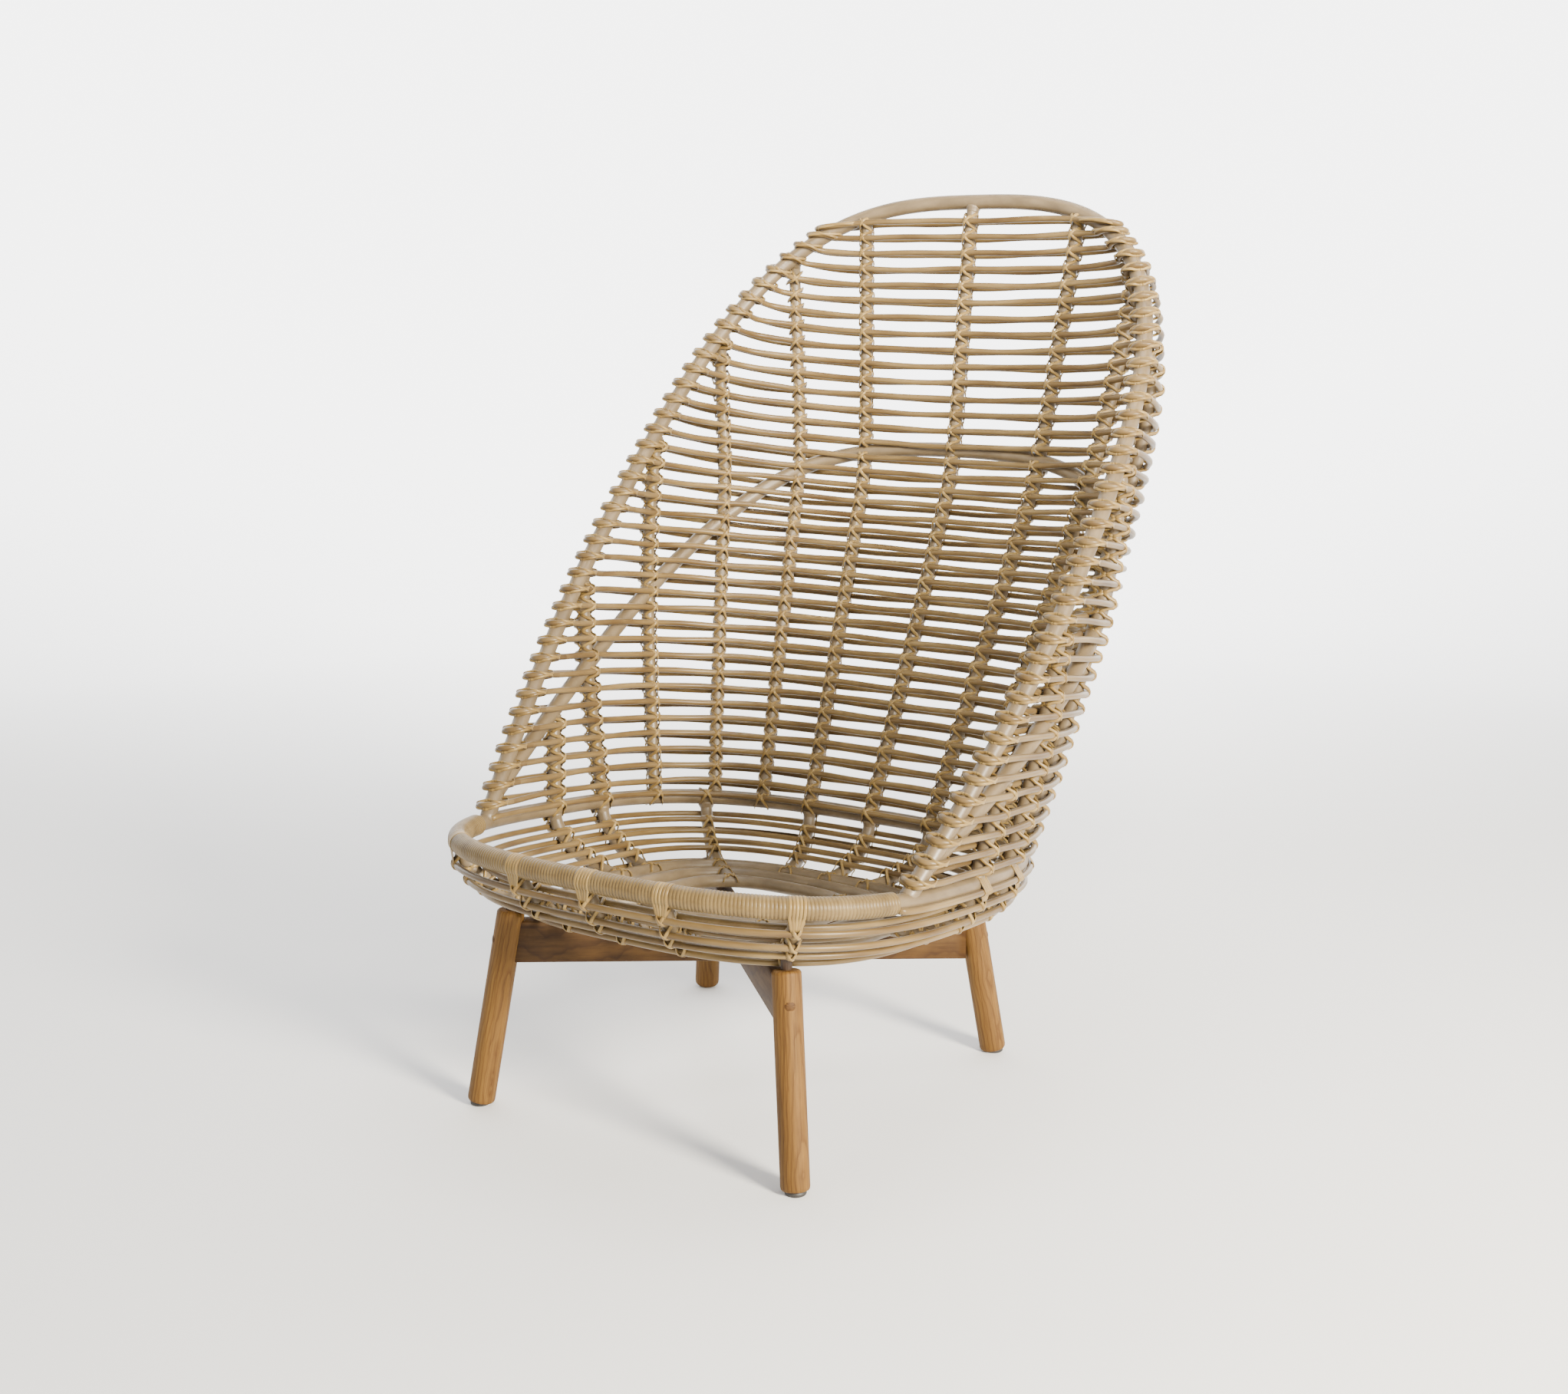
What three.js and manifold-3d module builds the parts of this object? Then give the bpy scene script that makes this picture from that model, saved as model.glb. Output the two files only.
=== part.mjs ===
// Woven high-back lounge chair: a shell of round cane on a tube frame, on a wooden cross base.
// Millimetres, +Z up, the chair faces -Y and is mirror-symmetric in X.
import * as THREE from "three";
import { mergeVertices } from "three/addons/utils/BufferGeometryUtils.js";
import Module from "manifold-3d";

// Tubes, cane and the clearance between pieces that touch
const FRAME_TUBE_DIAMETER = 22;
const RIB_DIAMETER = 18;
const CANE_DIAMETER = 8.6;
const FIT = 0.3;

// Seat ring: a rounded square in a plane that slopes down to the back
const RING_HALF_WIDTH = 335;
const RING_HALF_DEPTH = 335;
const RING_SQUARENESS = 2.9;
const RING_HEIGHT = 326;
const RING_SLOPE = -0.114;

// Hoop: leans back, is widest part of the way up, and bends upright near its crown
const HOOP_BASE_DEPTH = -145;
const HOOP_BASE_HALF_WIDTH = 322;
const HOOP_HALF_WIDTH = 380;
const HOOP_WIDEST_HEIGHT = 686;
const HOOP_TOP_HEIGHT = 1174;
const HOOP_LEAN_DEGREES = 44.1;
const HOOP_CROWN_SETBACK = 28;
const HOOP_CROWN_POWER = 3.2;
const HOOP_FLARE_POWER = 1.7;
const HOOP_SQUARENESS = 2.9;

// Back line on the chair's middle plane: two straight runs with a soft knee between them
const BACK_LOWER_LEAN_DEGREES = 26.8;
const BACK_UPPER_LEAN_DEGREES = 6.6;
const BACK_KNEE_HEIGHT = 772;
const BACK_KNEE_RADIUS = 40;

// Shell sections
const SHELL_MID_SQUARENESS = 2.45;
const SHELL_WIDEST_SETBACK = 145;
const SHELL_SETBACK_POWER = 3;

// Woven courses of the back
const COURSE_COUNT = 38;
const FIRST_COURSE_HOOP_DROP = 34;
const FIRST_COURSE_BACK_DROP = 29;
const STRAND_COUNT = 9;

// Back ribs, counted from the middle: distance from the middle along the ring, and fan-out
const RIB_AT_RING = [0, 102, 178, 251, 346, 443, 546];
const RIB_FAN = [0, 76, 125, 205, 285, 418, 300];
const UPPER_RIBS = 6;

// Lower arch in the back
const ARCH_FOOT_HEIGHT = 375;
const ARCH_TOP_HEIGHT = 806;
const ARCH_DISH = 24;

// Bowl under the seat ring
const BOWL_FLOOR_SHARE = 0.62;
const BOWL_RING_SHARES = [0.36, 0.5, 0.64];
const SPOKE_BACK_RIBS = [0, 1, 5, 6];
const SPOKE_FRONT_OFFSETS = [0, 110];
const BOWL_OUTER_TURNS = 3;
const BOWL_OUTER_START = 0.985;
const BOWL_INNER_TURNS = 4;
const BOWL_INNER_SHARES = [0.95, 0.72];
const BOWL_FLOOR_TURNS = 2;
const BOWL_FLOOR_END = 0.7;
const OUTER_CANE_TO_SPACER = 7.5;
const FLOOR_CANE_TO_SPACER = 17;

// Winding of flat cane on the front rail
const WRAP_LOOPS = 24;
const WRAP_THICKNESS = 2.3;
const WRAP_GAP = 1.2;
const WRAP_END_DEPTH = -172;

// Wooden base
const LEG_DIAMETER = 36;
const LEG_HEIGHT = 262;
const LEG_CHAMFER = 3;
const LEG_TOP_INSET_X = 125;
const LEG_TOP_INSET_Y = 106;
const LEG_SPLAY_X = 34;
const LEG_SPLAY_Y = 33;
const GLIDE_DIAMETER = 27;
const GLIDE_HEIGHT = 6;
const GLIDE_CHAMFER = 1.5;
const RAIL_HEIGHT = 56;
const RAIL_THICKNESS = 24;
const RAIL_TOP_DROP = 12;
const PLUG_DIAMETER = 13;
const PLUG_DEPTH = 8;
const SPACER_DIAMETER = 14;

// Facets
const TUBE_SIDES = 8;
const RIB_SIDES = 5;
const CANE_SIDES = 3;
const PLUG_SIDES = 10;
const ROUND_SIDES = 14;
const FRAME_TOLERANCE = 1.4;
const RIB_TOLERANCE = 0.5;
const SPOKE_TOLERANCE = 1.2;
const BAY_TOLERANCE = 9;
const EDGE_TOLERANCE = 2.6;
const BAY_STEPS = 8;
const TURN_STEPS = 4;
const ARCH_STEPS = 40;
const RIB_STEPS = 24;
const BOWL_RING_STEPS = 12;
const LONG_BAY = 150;
const WRAP_STEPS = 10;
const SECTION_STEPS = 120;
const LENGTH_SAMPLES = 240;
const SOLVER_STEPS = 40;

const frameRadius = FRAME_TUBE_DIAMETER / 2;
const ribRadius = RIB_DIAMETER / 2;
const caneRadius = CANE_DIAMETER / 2;
// Corner radius of a cane's facets that keeps most of the round cane's section.
const caneReach = 1.2 * caneRadius;
const UP = new THREE.Vector3(0, 0, 1);

const FRAME_FINISH = { color: 0xb3a189, roughness: 0.55, metalness: 0.1 };
const CANE_FINISH = { color: 0xc0a276, roughness: 0.5, metalness: 0 };
const WRAP_FINISH = { color: 0xd0b27f, roughness: 0.45, metalness: 0 };
const WOOD_FINISH = { color: 0xa9773f, roughness: 0.6, metalness: 0 };
const PLUG_FINISH = { color: 0x9a6a38, roughness: 0.6, metalness: 0 };
const DARK_FINISH = { color: 0x2b2622, roughness: 0.7, metalness: 0 };

const wasm = await Module();
wasm.setup();

// Solids and geometry

function solidOf(geometry) {
  const bare = new THREE.BufferGeometry();
  bare.setAttribute("position", geometry.getAttribute("position"));
  bare.setIndex(geometry.index);
  const merged = mergeVertices(bare, 1e-4);
  return new wasm.Manifold(
    new wasm.Mesh({
      numProp: 3,
      vertProperties: new Float32Array(merged.getAttribute("position").array),
      triVerts: new Uint32Array(merged.index.array),
    }),
  );
}

function geometryOf(solid) {
  const mesh = solid.getMesh();
  const geometry = new THREE.BufferGeometry();
  geometry.setAttribute("position", new THREE.BufferAttribute(mesh.vertProperties, 3));
  geometry.setIndex(new THREE.BufferAttribute(mesh.triVerts, 1));
  geometry.computeVertexNormals();
  return geometry;
}

// The largest body of a cut piece: a saddle cut can leave loose slivers beside it.
function mainBody(solid) {
  const bodies = solid.decompose();
  return bodies.reduce((best, body) => (body.volume() > best.volume() ? body : best));
}

// Directions along a run of points, averaged at each point.
function tangentsOf(points, closed) {
  const last = points.length - 1;
  return points.map((point, i) => {
    const before = closed ? points[(i + last) % points.length] : points[Math.max(i - 1, 0)];
    const after = closed ? points[(i + 1) % points.length] : points[Math.min(i + 1, last)];
    return after.clone().sub(before).normalize();
  });
}

// Side directions carried along a run of points without twist.
function sidesOf(tangents) {
  const start = Math.abs(tangents[0].z) < 0.8 ? UP.clone() : new THREE.Vector3(1, 0, 0);
  let side = start;
  return tangents.map((tangent) => {
    side = side.clone().addScaledVector(tangent, -side.dot(tangent)).normalize();
    return side;
  });
}

// A closed skin from rings of equally many points, capped at both ends unless it is a loop.
function skin(rings, closed) {
  const sides = rings[0].length;
  const positions = rings.flat().flatMap((p) => [p.x, p.y, p.z]);
  const index = [];
  const spans = closed ? rings.length : rings.length - 1;
  for (let i = 0; i < spans; i++) {
    const here = i * sides;
    const next = ((i + 1) % rings.length) * sides;
    for (let k = 0; k < sides; k++) {
      const side = (k + 1) % sides;
      index.push(here + k, here + side, next + k);
      index.push(here + side, next + side, next + k);
    }
  }
  const end = (rings.length - 1) * sides;
  for (let k = 1; k < sides - 1 && !closed; k++) {
    index.push(0, k + 1, k);
    index.push(end, end + k, end + k + 1);
  }
  const geometry = new THREE.BufferGeometry();
  geometry.setAttribute("position", new THREE.Float32BufferAttribute(positions, 3));
  geometry.setIndex(index);
  geometry.computeVertexNormals();
  return geometry;
}

// A round tube of flat facets along a run of points.
function tube(points, radius, sides, closed = false) {
  const tangents = tangentsOf(points, closed);
  const normals = sidesOf(tangents);
  const rings = points.map((point, i) => {
    const binormal = tangents[i].clone().cross(normals[i]);
    return Array.from({ length: sides }, (_, k) => {
      const angle = ((k + 0.5) / sides) * 2 * Math.PI;
      return point
        .clone()
        .addScaledVector(normals[i], radius * Math.cos(angle))
        .addScaledVector(binormal, radius * Math.sin(angle));
    });
  });
  return skin(rings, closed);
}

// A turned solid about Z from a profile of [radius, height] pairs, closed on the axis.
function turned(profile, sides = ROUND_SIDES) {
  const points = profile.map(([radius, height]) => new THREE.Vector2(radius, height));
  return new THREE.LatheGeometry(points, sides).rotateX(Math.PI / 2);
}

// The fewest of a run's points that keep within a tolerance of it.
function simplified(points, tolerance) {
  const line = new THREE.Line3(points[0], points.at(-1));
  const nearest = new THREE.Vector3();
  let worst = 0;
  let at = 0;
  for (let i = 1; i < points.length - 1; i++) {
    const away = line.closestPointToPoint(points[i], true, nearest).distanceTo(points[i]);
    if (away > worst) [worst, at] = [away, i];
  }
  if (worst <= tolerance) return [points[0], points.at(-1)];
  const first = simplified(points.slice(0, at + 1), tolerance);
  const rest = simplified(points.slice(at), tolerance);
  return [...first, ...rest.slice(1)];
}

// A run of points with a length taken off its start and its end.
function shortened(points, atStart, atEnd) {
  const curve = new THREE.CatmullRomCurve3(points, false, "centripetal");
  const length = curve.getLength();
  return Array.from({ length: SECTION_STEPS + 1 }, (_, i) => {
    const run = atStart + ((length - atStart - atEnd) * i) / SECTION_STEPS;
    return curve.getPointAt(Math.min(run / length, 1));
  });
}

// Distance run so far at each point.
function runLengths(points) {
  const lengths = [0];
  for (let i = 1; i < points.length; i++)
    lengths.push(lengths[i - 1] + points[i].distanceTo(points[i - 1]));
  return lengths;
}

// The point a distance along a run of points.
function pointAlong(points, lengths, distance) {
  let i = 1;
  while (i < points.length - 1 && lengths[i] < distance) i++;
  const share = (distance - lengths[i - 1]) / (lengths[i] - lengths[i - 1]);
  return points[i - 1].clone().lerp(points[i], share);
}

function bisect(test, low, high) {
  let [a, b] = [low, high];
  const sign = Math.sign(test(a));
  for (let i = 0; i < SOLVER_STEPS; i++) {
    const middle = (a + b) / 2;
    if (Math.sign(test(middle)) === sign) a = middle;
    else b = middle;
  }
  return (a + b) / 2;
}

const radians = THREE.MathUtils.degToRad;
const clamp = THREE.MathUtils.clamp;
const mirrored = (p) => new THREE.Vector3(-p.x, p.y, p.z);
const power = (value, exponent) => Math.sign(value) * Math.abs(value) ** exponent;

// Frame curves

const ringHeight = (y) => RING_HEIGHT + RING_SLOPE * y;

// A point of the seat ring's axis; angle 0 is the back, a quarter turn is the right side.
function ringPoint(angle) {
  const x = RING_HALF_WIDTH * power(Math.sin(angle), 2 / RING_SQUARENESS);
  const y = RING_HALF_DEPTH * power(Math.cos(angle), 2 / RING_SQUARENESS);
  return new THREE.Vector3(x, y, ringHeight(y));
}

const HOOP_BASE_HEIGHT = ringHeight(HOOP_BASE_DEPTH);

// The right half of the hoop's axis, by height.
function hoopPoint(z) {
  const rise = clamp((z - HOOP_WIDEST_HEIGHT) / (HOOP_TOP_HEIGHT - HOOP_WIDEST_HEIGHT), 0, 1);
  const fall = clamp((HOOP_WIDEST_HEIGHT - z) / (HOOP_WIDEST_HEIGHT - HOOP_BASE_HEIGHT), 0, 1);
  const flare = (HOOP_HALF_WIDTH - HOOP_BASE_HALF_WIDTH) * fall ** HOOP_FLARE_POWER;
  const crown = (1 - rise ** HOOP_SQUARENESS) ** (1 / HOOP_SQUARENESS);
  const x = z > HOOP_WIDEST_HEIGHT ? HOOP_HALF_WIDTH * crown : HOOP_HALF_WIDTH - flare;
  const lean = Math.tan(radians(HOOP_LEAN_DEGREES));
  const setback = HOOP_CROWN_SETBACK * rise ** HOOP_CROWN_POWER;
  return new THREE.Vector3(x, HOOP_BASE_DEPTH + (z - HOOP_BASE_HEIGHT) * lean - setback, z);
}

// The hoop's height where its half width is x, above its widest place.
function hoopHeightAt(x) {
  const share = (1 - (x / HOOP_HALF_WIDTH) ** HOOP_SQUARENESS) ** (1 / HOOP_SQUARENESS);
  return HOOP_WIDEST_HEIGHT + (HOOP_TOP_HEIGHT - HOOP_WIDEST_HEIGHT) * share;
}

// The back line of the shell on the middle plane, by height.
function backPoint(z) {
  const lower = Math.tan(radians(BACK_LOWER_LEAN_DEGREES));
  const upper = Math.tan(radians(BACK_UPPER_LEAN_DEGREES));
  const bend = (height) => {
    const d = height - BACK_KNEE_HEIGHT;
    return ((lower + upper) / 2) * d - ((lower - upper) / 2) * Math.hypot(d, BACK_KNEE_RADIUS);
  };
  const y = RING_HALF_DEPTH + bend(z) - bend(ringHeight(RING_HALF_DEPTH));
  return new THREE.Vector3(0, y, z);
}

// A line of points by height, read by the share of its length from the top down.
function readByShare(point, top, bottom) {
  const points = Array.from({ length: LENGTH_SAMPLES + 1 }, (_, i) =>
    point(top + ((bottom - top) * i) / LENGTH_SAMPLES),
  );
  const lengths = runLengths(points);
  return (share) => pointAlong(points, lengths, clamp(share, 0, 1) * lengths.at(-1));
}

// The top course lies a little below the hoop's crown, at its ends and at the middle of the back.
const hoopByShare = readByShare(hoopPoint, HOOP_TOP_HEIGHT - FIRST_COURSE_HOOP_DROP, HOOP_BASE_HEIGHT);
const backByShare = readByShare(
  backPoint,
  HOOP_TOP_HEIGHT - FIRST_COURSE_BACK_DROP,
  ringHeight(RING_HALF_DEPTH),
);

// The right half of one level of the shell, from the middle of the back to the hoop.
// Share 0 is the top course, share 1 the seat ring.
const sections = new Map();
function section(share) {
  if (sections.has(share)) return sections.get(share);
  const hoop = hoopByShare(share);
  const back = backByShare(share);
  const dip = Math.sin(Math.PI * clamp(share, 0, 1));
  const n = RING_SQUARENESS - (RING_SQUARENESS - SHELL_MID_SQUARENESS) * dip;
  const setback = SHELL_WIDEST_SETBACK * clamp(share, 0, 1) ** SHELL_SETBACK_POWER;
  const widest = hoop.y + setback;
  const narrowing = (d) => (1 - (d / RING_HALF_DEPTH) ** n) ** (1 / n);
  const halfWidth = hoop.x / narrowing(setback);
  const points = [];
  const add = (x, y) => {
    const forward = (back.y - y) / (back.y - hoop.y);
    points.push(new THREE.Vector3(x, y, back.z + (hoop.z - back.z) * forward));
  };
  for (let i = 0; i <= SECTION_STEPS; i++) {
    const angle = (i / SECTION_STEPS) * (Math.PI / 2);
    const y = widest + (back.y - widest) * power(Math.cos(angle), 2 / n);
    add(halfWidth * power(Math.sin(angle), 2 / n), y);
  }
  const frontSteps = Math.round((SECTION_STEPS / 4) * share);
  for (let i = 1; i <= frontSteps && setback > 1; i++) {
    const d = (setback * i) / frontSteps;
    add(halfWidth * narrowing(d), widest - d);
  }
  const lengths = runLengths(points);
  const made = { points, lengths, total: lengths.at(-1), hoop };
  sections.set(share, made);
  return made;
}

// The point of the shell at a level, a signed distance along it from the middle of the back.
function shellPoint(share, distance) {
  const level = section(share);
  const point = pointAlong(level.points, level.lengths, Math.min(Math.abs(distance), level.total));
  return distance < 0 ? mirrored(point) : point;
}

// Outward direction of the shell.
function shellNormal(share, distance) {
  const total = section(share).total;
  const reach = clamp(distance, 4 - total, total - 4);
  const across = shellPoint(share, reach + 3).sub(shellPoint(share, reach - 3));
  const low = Math.min(share + 0.01, 1);
  const high = Math.max(share - 0.01, 0);
  const along = (s) => shellPoint(s, (reach / total) * section(s).total);
  const normal = across.cross(along(low).sub(along(high))).normalize();
  const inside = new THREE.Vector3(0, section(share).hoop.y, shellPoint(share, reach).z);
  const outward = shellPoint(share, reach).sub(inside);
  return normal.dot(outward) < 0 ? normal.negate() : normal;
}

const courseShare = (k) => (k - 1) / COURSE_COUNT;
const ribDistance = (j, share) => RIB_AT_RING[j] + RIB_FAN[j] * (1 - share);

// Height of the lower arch above or below a point of the shell.
const archFoot = hoopPoint(ARCH_FOOT_HEIGHT);
const archTop = backPoint(ARCH_TOP_HEIGHT);
function aboveArch(point) {
  const forward = (point.y - archFoot.y) / (archTop.y - archFoot.y);
  const line = archFoot.z + (archTop.z - archFoot.z) * forward;
  return point.z - line + ARCH_DISH * Math.sin(Math.PI * clamp(forward, 0, 1));
}

// Frame pieces

function hoopAxis() {
  const right = [];
  const halfSteps = SECTION_STEPS / 2;
  for (let i = 0; i < halfSteps; i++)
    right.push(hoopPoint(HOOP_BASE_HEIGHT + ((HOOP_WIDEST_HEIGHT - HOOP_BASE_HEIGHT) * i) / halfSteps));
  for (let i = 0; i <= SECTION_STEPS; i++) {
    const x = HOOP_HALF_WIDTH * power(Math.cos(((i / SECTION_STEPS) * Math.PI) / 2), 2 / HOOP_SQUARENESS);
    right.push(hoopPoint(hoopHeightAt(x)));
  }
  const left = right.slice(0, -1).reverse().map(mirrored);
  return [...right, ...left];
}

function archAxis() {
  const right = [];
  for (let i = 0; i <= ARCH_STEPS; i++) {
    const reach = i / ARCH_STEPS;
    const at = (share) => shellPoint(share, reach * section(share).total);
    right.push(at(bisect((share) => aboveArch(at(share)), 0, 1)));
  }
  return [...right.slice(1).reverse().map(mirrored), ...right];
}

// The ring's axis over a range of its angle.
function ringArc(start, end) {
  return Array.from({ length: 2 * SECTION_STEPS + 1 }, (_, i) =>
    ringPoint(start + ((end - start) * i) / (2 * SECTION_STEPS)),
  );
}

const ringHalf = simplified(ringArc(0, Math.PI), FRAME_TOLERANCE);
const ringAxis = [...ringHalf, ...ringHalf.slice(1, -1).reverse().map(mirrored)];
const hoopEnd = 0.4 * frameRadius;
const hoopLine = simplified(hoopAxis(), FRAME_TOLERANCE);
const hoopRun = [
  hoopLine[1].clone().sub(hoopLine[0]).setLength(hoopEnd).add(hoopLine[0]),
  ...hoopLine.slice(1, -1),
  hoopLine.at(-2).clone().sub(hoopLine.at(-1)).setLength(hoopEnd).add(hoopLine.at(-1)),
];
const archRun = simplified(archAxis(), FRAME_TOLERANCE);

const ringRoom = solidOf(tube(ringAxis, frameRadius + FIT, TUBE_SIDES, true));
const hoopRoom = solidOf(tube(hoopLine, frameRadius + FIT, TUBE_SIDES));
const archRoom = solidOf(tube(archRun, frameRadius + FIT, TUBE_SIDES));

const hoopSolid = mainBody(solidOf(tube(hoopRun, frameRadius, TUBE_SIDES)).subtract(ringRoom));
const archSolid = mainBody(solidOf(tube(archRun, frameRadius, TUBE_SIDES)).subtract(hoopRoom));

// Where a rib crosses the arch, and where it reaches the hoop.
function ribLimits(j) {
  const reachesHoop = (share) => section(share).total - ribDistance(j, share);
  const top = reachesHoop(0) > 0 ? 0 : bisect(reachesHoop, 0, 1);
  const at = (share) => shellPoint(share, ribDistance(j, share));
  return { top, arch: bisect((share) => aboveArch(at(share)), top, 1) };
}

function ribRun(j, from, to) {
  const points = [];
  for (let i = 0; i <= RIB_STEPS; i++) {
    const share = from + ((to - from) * i) / RIB_STEPS;
    points.push(shellPoint(share, ribDistance(j, share)));
  }
  return points;
}

// A rib length between two frame tubes, its ends cut to the tubes' round.
function ribSolid(points, rooms) {
  const overrun = 0.4 * frameRadius;
  const run = simplified(shortened(points, overrun, overrun), RIB_TOLERANCE);
  const rib = solidOf(tube(run, ribRadius, RIB_SIDES));
  return mainBody(rooms.reduce((solid, room) => solid.subtract(room), rib));
}

function lowerRib(j) {
  return ribSolid(ribRun(j, 1, ribLimits(j).arch), [ringRoom, archRoom, hoopRoom]);
}

function upperRib(j) {
  const limits = ribLimits(j);
  const points = ribRun(j, limits.arch, limits.top);
  if (limits.top === 0) points.push(hoopPoint(hoopHeightAt(points.at(-1).x)));
  return ribSolid(points, [archRoom, hoopRoom]);
}

// Bowl

// The legs stand a set distance inside the ring. The rails and the bowl fall towards the back with
// the ring, so their heights are given over the front legs.
const legTopX = RING_HALF_WIDTH - LEG_TOP_INSET_X;
const legTopY = RING_HALF_DEPTH - LEG_TOP_INSET_Y;
const seatFall = (y) => RING_SLOPE * (y + legTopY);
const railTop = LEG_HEIGHT - RAIL_TOP_DROP;
const bowlFloor = railTop + 2 * CANE_DIAMETER + FIT + ribRadius - caneRadius;

// A point of the bowl: a share of the ring's plan, falling from the ring to the floor.
function bowlPoint(angle, share) {
  const rim = ringPoint(angle);
  const q = clamp((share - BOWL_FLOOR_SHARE) / (1 - BOWL_FLOOR_SHARE), 0, 1);
  const floor = (y) => bowlFloor + seatFall(y);
  const rise = (rim.z - floor(rim.y)) * (1 - Math.sqrt(1 - q * q));
  const y = rim.y * share;
  return new THREE.Vector3(rim.x * share, y, floor(y) + rise);
}

function bowlNormal(angle, share) {
  const across = bowlPoint(angle + 0.01, share).sub(bowlPoint(angle - 0.01, share));
  const along = bowlPoint(angle, Math.min(share + 0.004, 1)).sub(bowlPoint(angle, share - 0.004));
  const normal = across.cross(along).normalize();
  return normal.z > 0 ? normal.negate() : normal;
}

// The ring's angle where its axis points towards a place in plan.
function ringAngleTowards(x, y) {
  const a = power(Math.abs(x) / RING_HALF_WIDTH, RING_SQUARENESS / 2);
  const b = power(Math.abs(y) / RING_HALF_DEPTH, RING_SQUARENESS / 2);
  const turn = Math.atan2(a, b);
  const rightHalf = y >= 0 ? turn : Math.PI - turn;
  return x < 0 ? 2 * Math.PI - rightHalf : rightHalf;
}

const cornerAngle = ringAngleTowards(legTopX, legTopY);

// Angles of the bowl's spokes: under back ribs, over the legs, and along the front.
function spokeAngles() {
  const half = SPOKE_BACK_RIBS.map((j) => {
    const foot = shellPoint(1, RIB_AT_RING[j]);
    return ringAngleTowards(foot.x, foot.y);
  });
  half.push(cornerAngle, Math.PI - cornerAngle);
  for (const x of SPOKE_FRONT_OFFSETS) half.push(ringAngleTowards(x, -RING_HALF_DEPTH));
  const onMiddle = (angle) => Math.abs(Math.sin(angle)) < 1e-6;
  const other = half.filter((angle) => !onMiddle(angle)).map((angle) => 2 * Math.PI - angle);
  return [...half, ...other].sort((a, b) => a - b);
}

// A spoke runs down from the seat ring to the bowl's outer floor ring; those over the legs run on
// to the smallest one.
function spokeRun(angle) {
  const overLeg = Math.abs(Math.abs(Math.cos(angle)) - Math.cos(cornerAngle)) < 1e-6;
  const end = overLeg ? BOWL_RING_SHARES[0] : BOWL_RING_SHARES.at(-1);
  const points = [];
  for (let i = 0; i <= SECTION_STEPS; i++) {
    const turn = ((i / SECTION_STEPS) * Math.PI) / 2;
    const share = BOWL_FLOOR_SHARE + (1 - BOWL_FLOOR_SHARE) * Math.cos(turn);
    if (share > end) points.push(bowlPoint(angle, share));
  }
  points.push(bowlPoint(angle, end));
  return simplified(shortened(points, 0.4 * frameRadius, 0), SPOKE_TOLERANCE);
}

function bowlRing(share) {
  const points = Array.from({ length: BOWL_RING_STEPS }, (_, i) =>
    bowlPoint((i / BOWL_RING_STEPS) * 2 * Math.PI, share),
  );
  return solidOf(tube(points, ribRadius, RIB_SIDES, true));
}

// Front rail winding: one flat strip that runs round and along the front of the seat ring.

const wrapCurve = new THREE.CatmullRomCurve3(
  (() => {
    const end = ringAngleTowards(
      shellPoint(1, section(1).total).x,
      WRAP_END_DEPTH,
    );
    return ringArc(2 * Math.PI - end, end);
  })(),
);
const wrapInner = (frameRadius + FIT + FRAME_TOLERANCE) / Math.cos(Math.PI / WRAP_STEPS);
const wrapOuter = wrapInner + WRAP_THICKNESS;

function wrapGeometry() {
  const length = wrapCurve.getLength();
  const pitch = length / (WRAP_LOOPS + 1);
  const width = pitch - WRAP_GAP;
  const place = (run, turn, radius) => {
    const share = clamp(run / length, 0, 1);
    const tangent = wrapCurve.getTangentAt(share);
    const side = UP.clone().addScaledVector(tangent, -UP.dot(tangent)).normalize();
    const other = tangent.clone().cross(side);
    return wrapCurve
      .getPointAt(share)
      .addScaledVector(side, radius * Math.cos(turn))
      .addScaledVector(other, radius * Math.sin(turn));
  };
  const rings = [];
  for (let i = 0; i <= WRAP_LOOPS * WRAP_STEPS; i++) {
    const turn = (i / WRAP_STEPS) * 2 * Math.PI;
    const run = (i / WRAP_STEPS) * pitch;
    rings.push([
      place(run, turn, wrapInner),
      place(run + width, turn, wrapInner),
      place(run + width, turn, wrapOuter),
      place(run, turn, wrapOuter),
    ]);
  }
  let least = Infinity;
  for (let i = 0; i + WRAP_STEPS < rings.length; i++)
    for (const [near, far] of [[1, 0], [2, 3]])
      least = Math.min(least, rings[i][near].distanceTo(rings[i + WRAP_STEPS][far]));
  console.log("front rail winding: least gap to itself " + least.toFixed(2) + " mm");
  return skin(rings, false);
}

const wrapRoomRadius = (wrapOuter + FRAME_TOLERANCE) / Math.cos(Math.PI / TUBE_SIDES);
const wrapRoom = solidOf(tube(simplified(wrapCurve.points, FRAME_TOLERANCE), wrapRoomRadius, TUBE_SIDES));

function spiderSolid() {
  const parts = BOWL_RING_SHARES.map((share) => bowlRing(share));
  for (const angle of spokeAngles()) parts.push(solidOf(tube(spokeRun(angle), ribRadius, RIB_SIDES)));
  const joined = parts.reduce((solid, part) => solid.add(part));
  return mainBody(joined.subtract(ringRoom).subtract(wrapRoom).subtract(hoopRoom));
}

// Weave of the back

// Cane centre line to shell: over a rib, and over the wider frame tubes.
const overRib = ribRadius + 3.4 * FIT + caneReach;
// Outside the spokes a cane lies on a flat of the facets, inside on a corner.
const overSpoke = ribRadius + 3 * FIT + caneReach;
const underSpoke = ribRadius * Math.cos(Math.PI / RIB_SIDES) + 5 * FIT + caneReach;
const overFrame = (frameRadius + 0.35 * FRAME_TOLERANCE + FIT + caneReach) / Math.cos(Math.PI / 8);
const NEAR_ARCH = 40;

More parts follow.
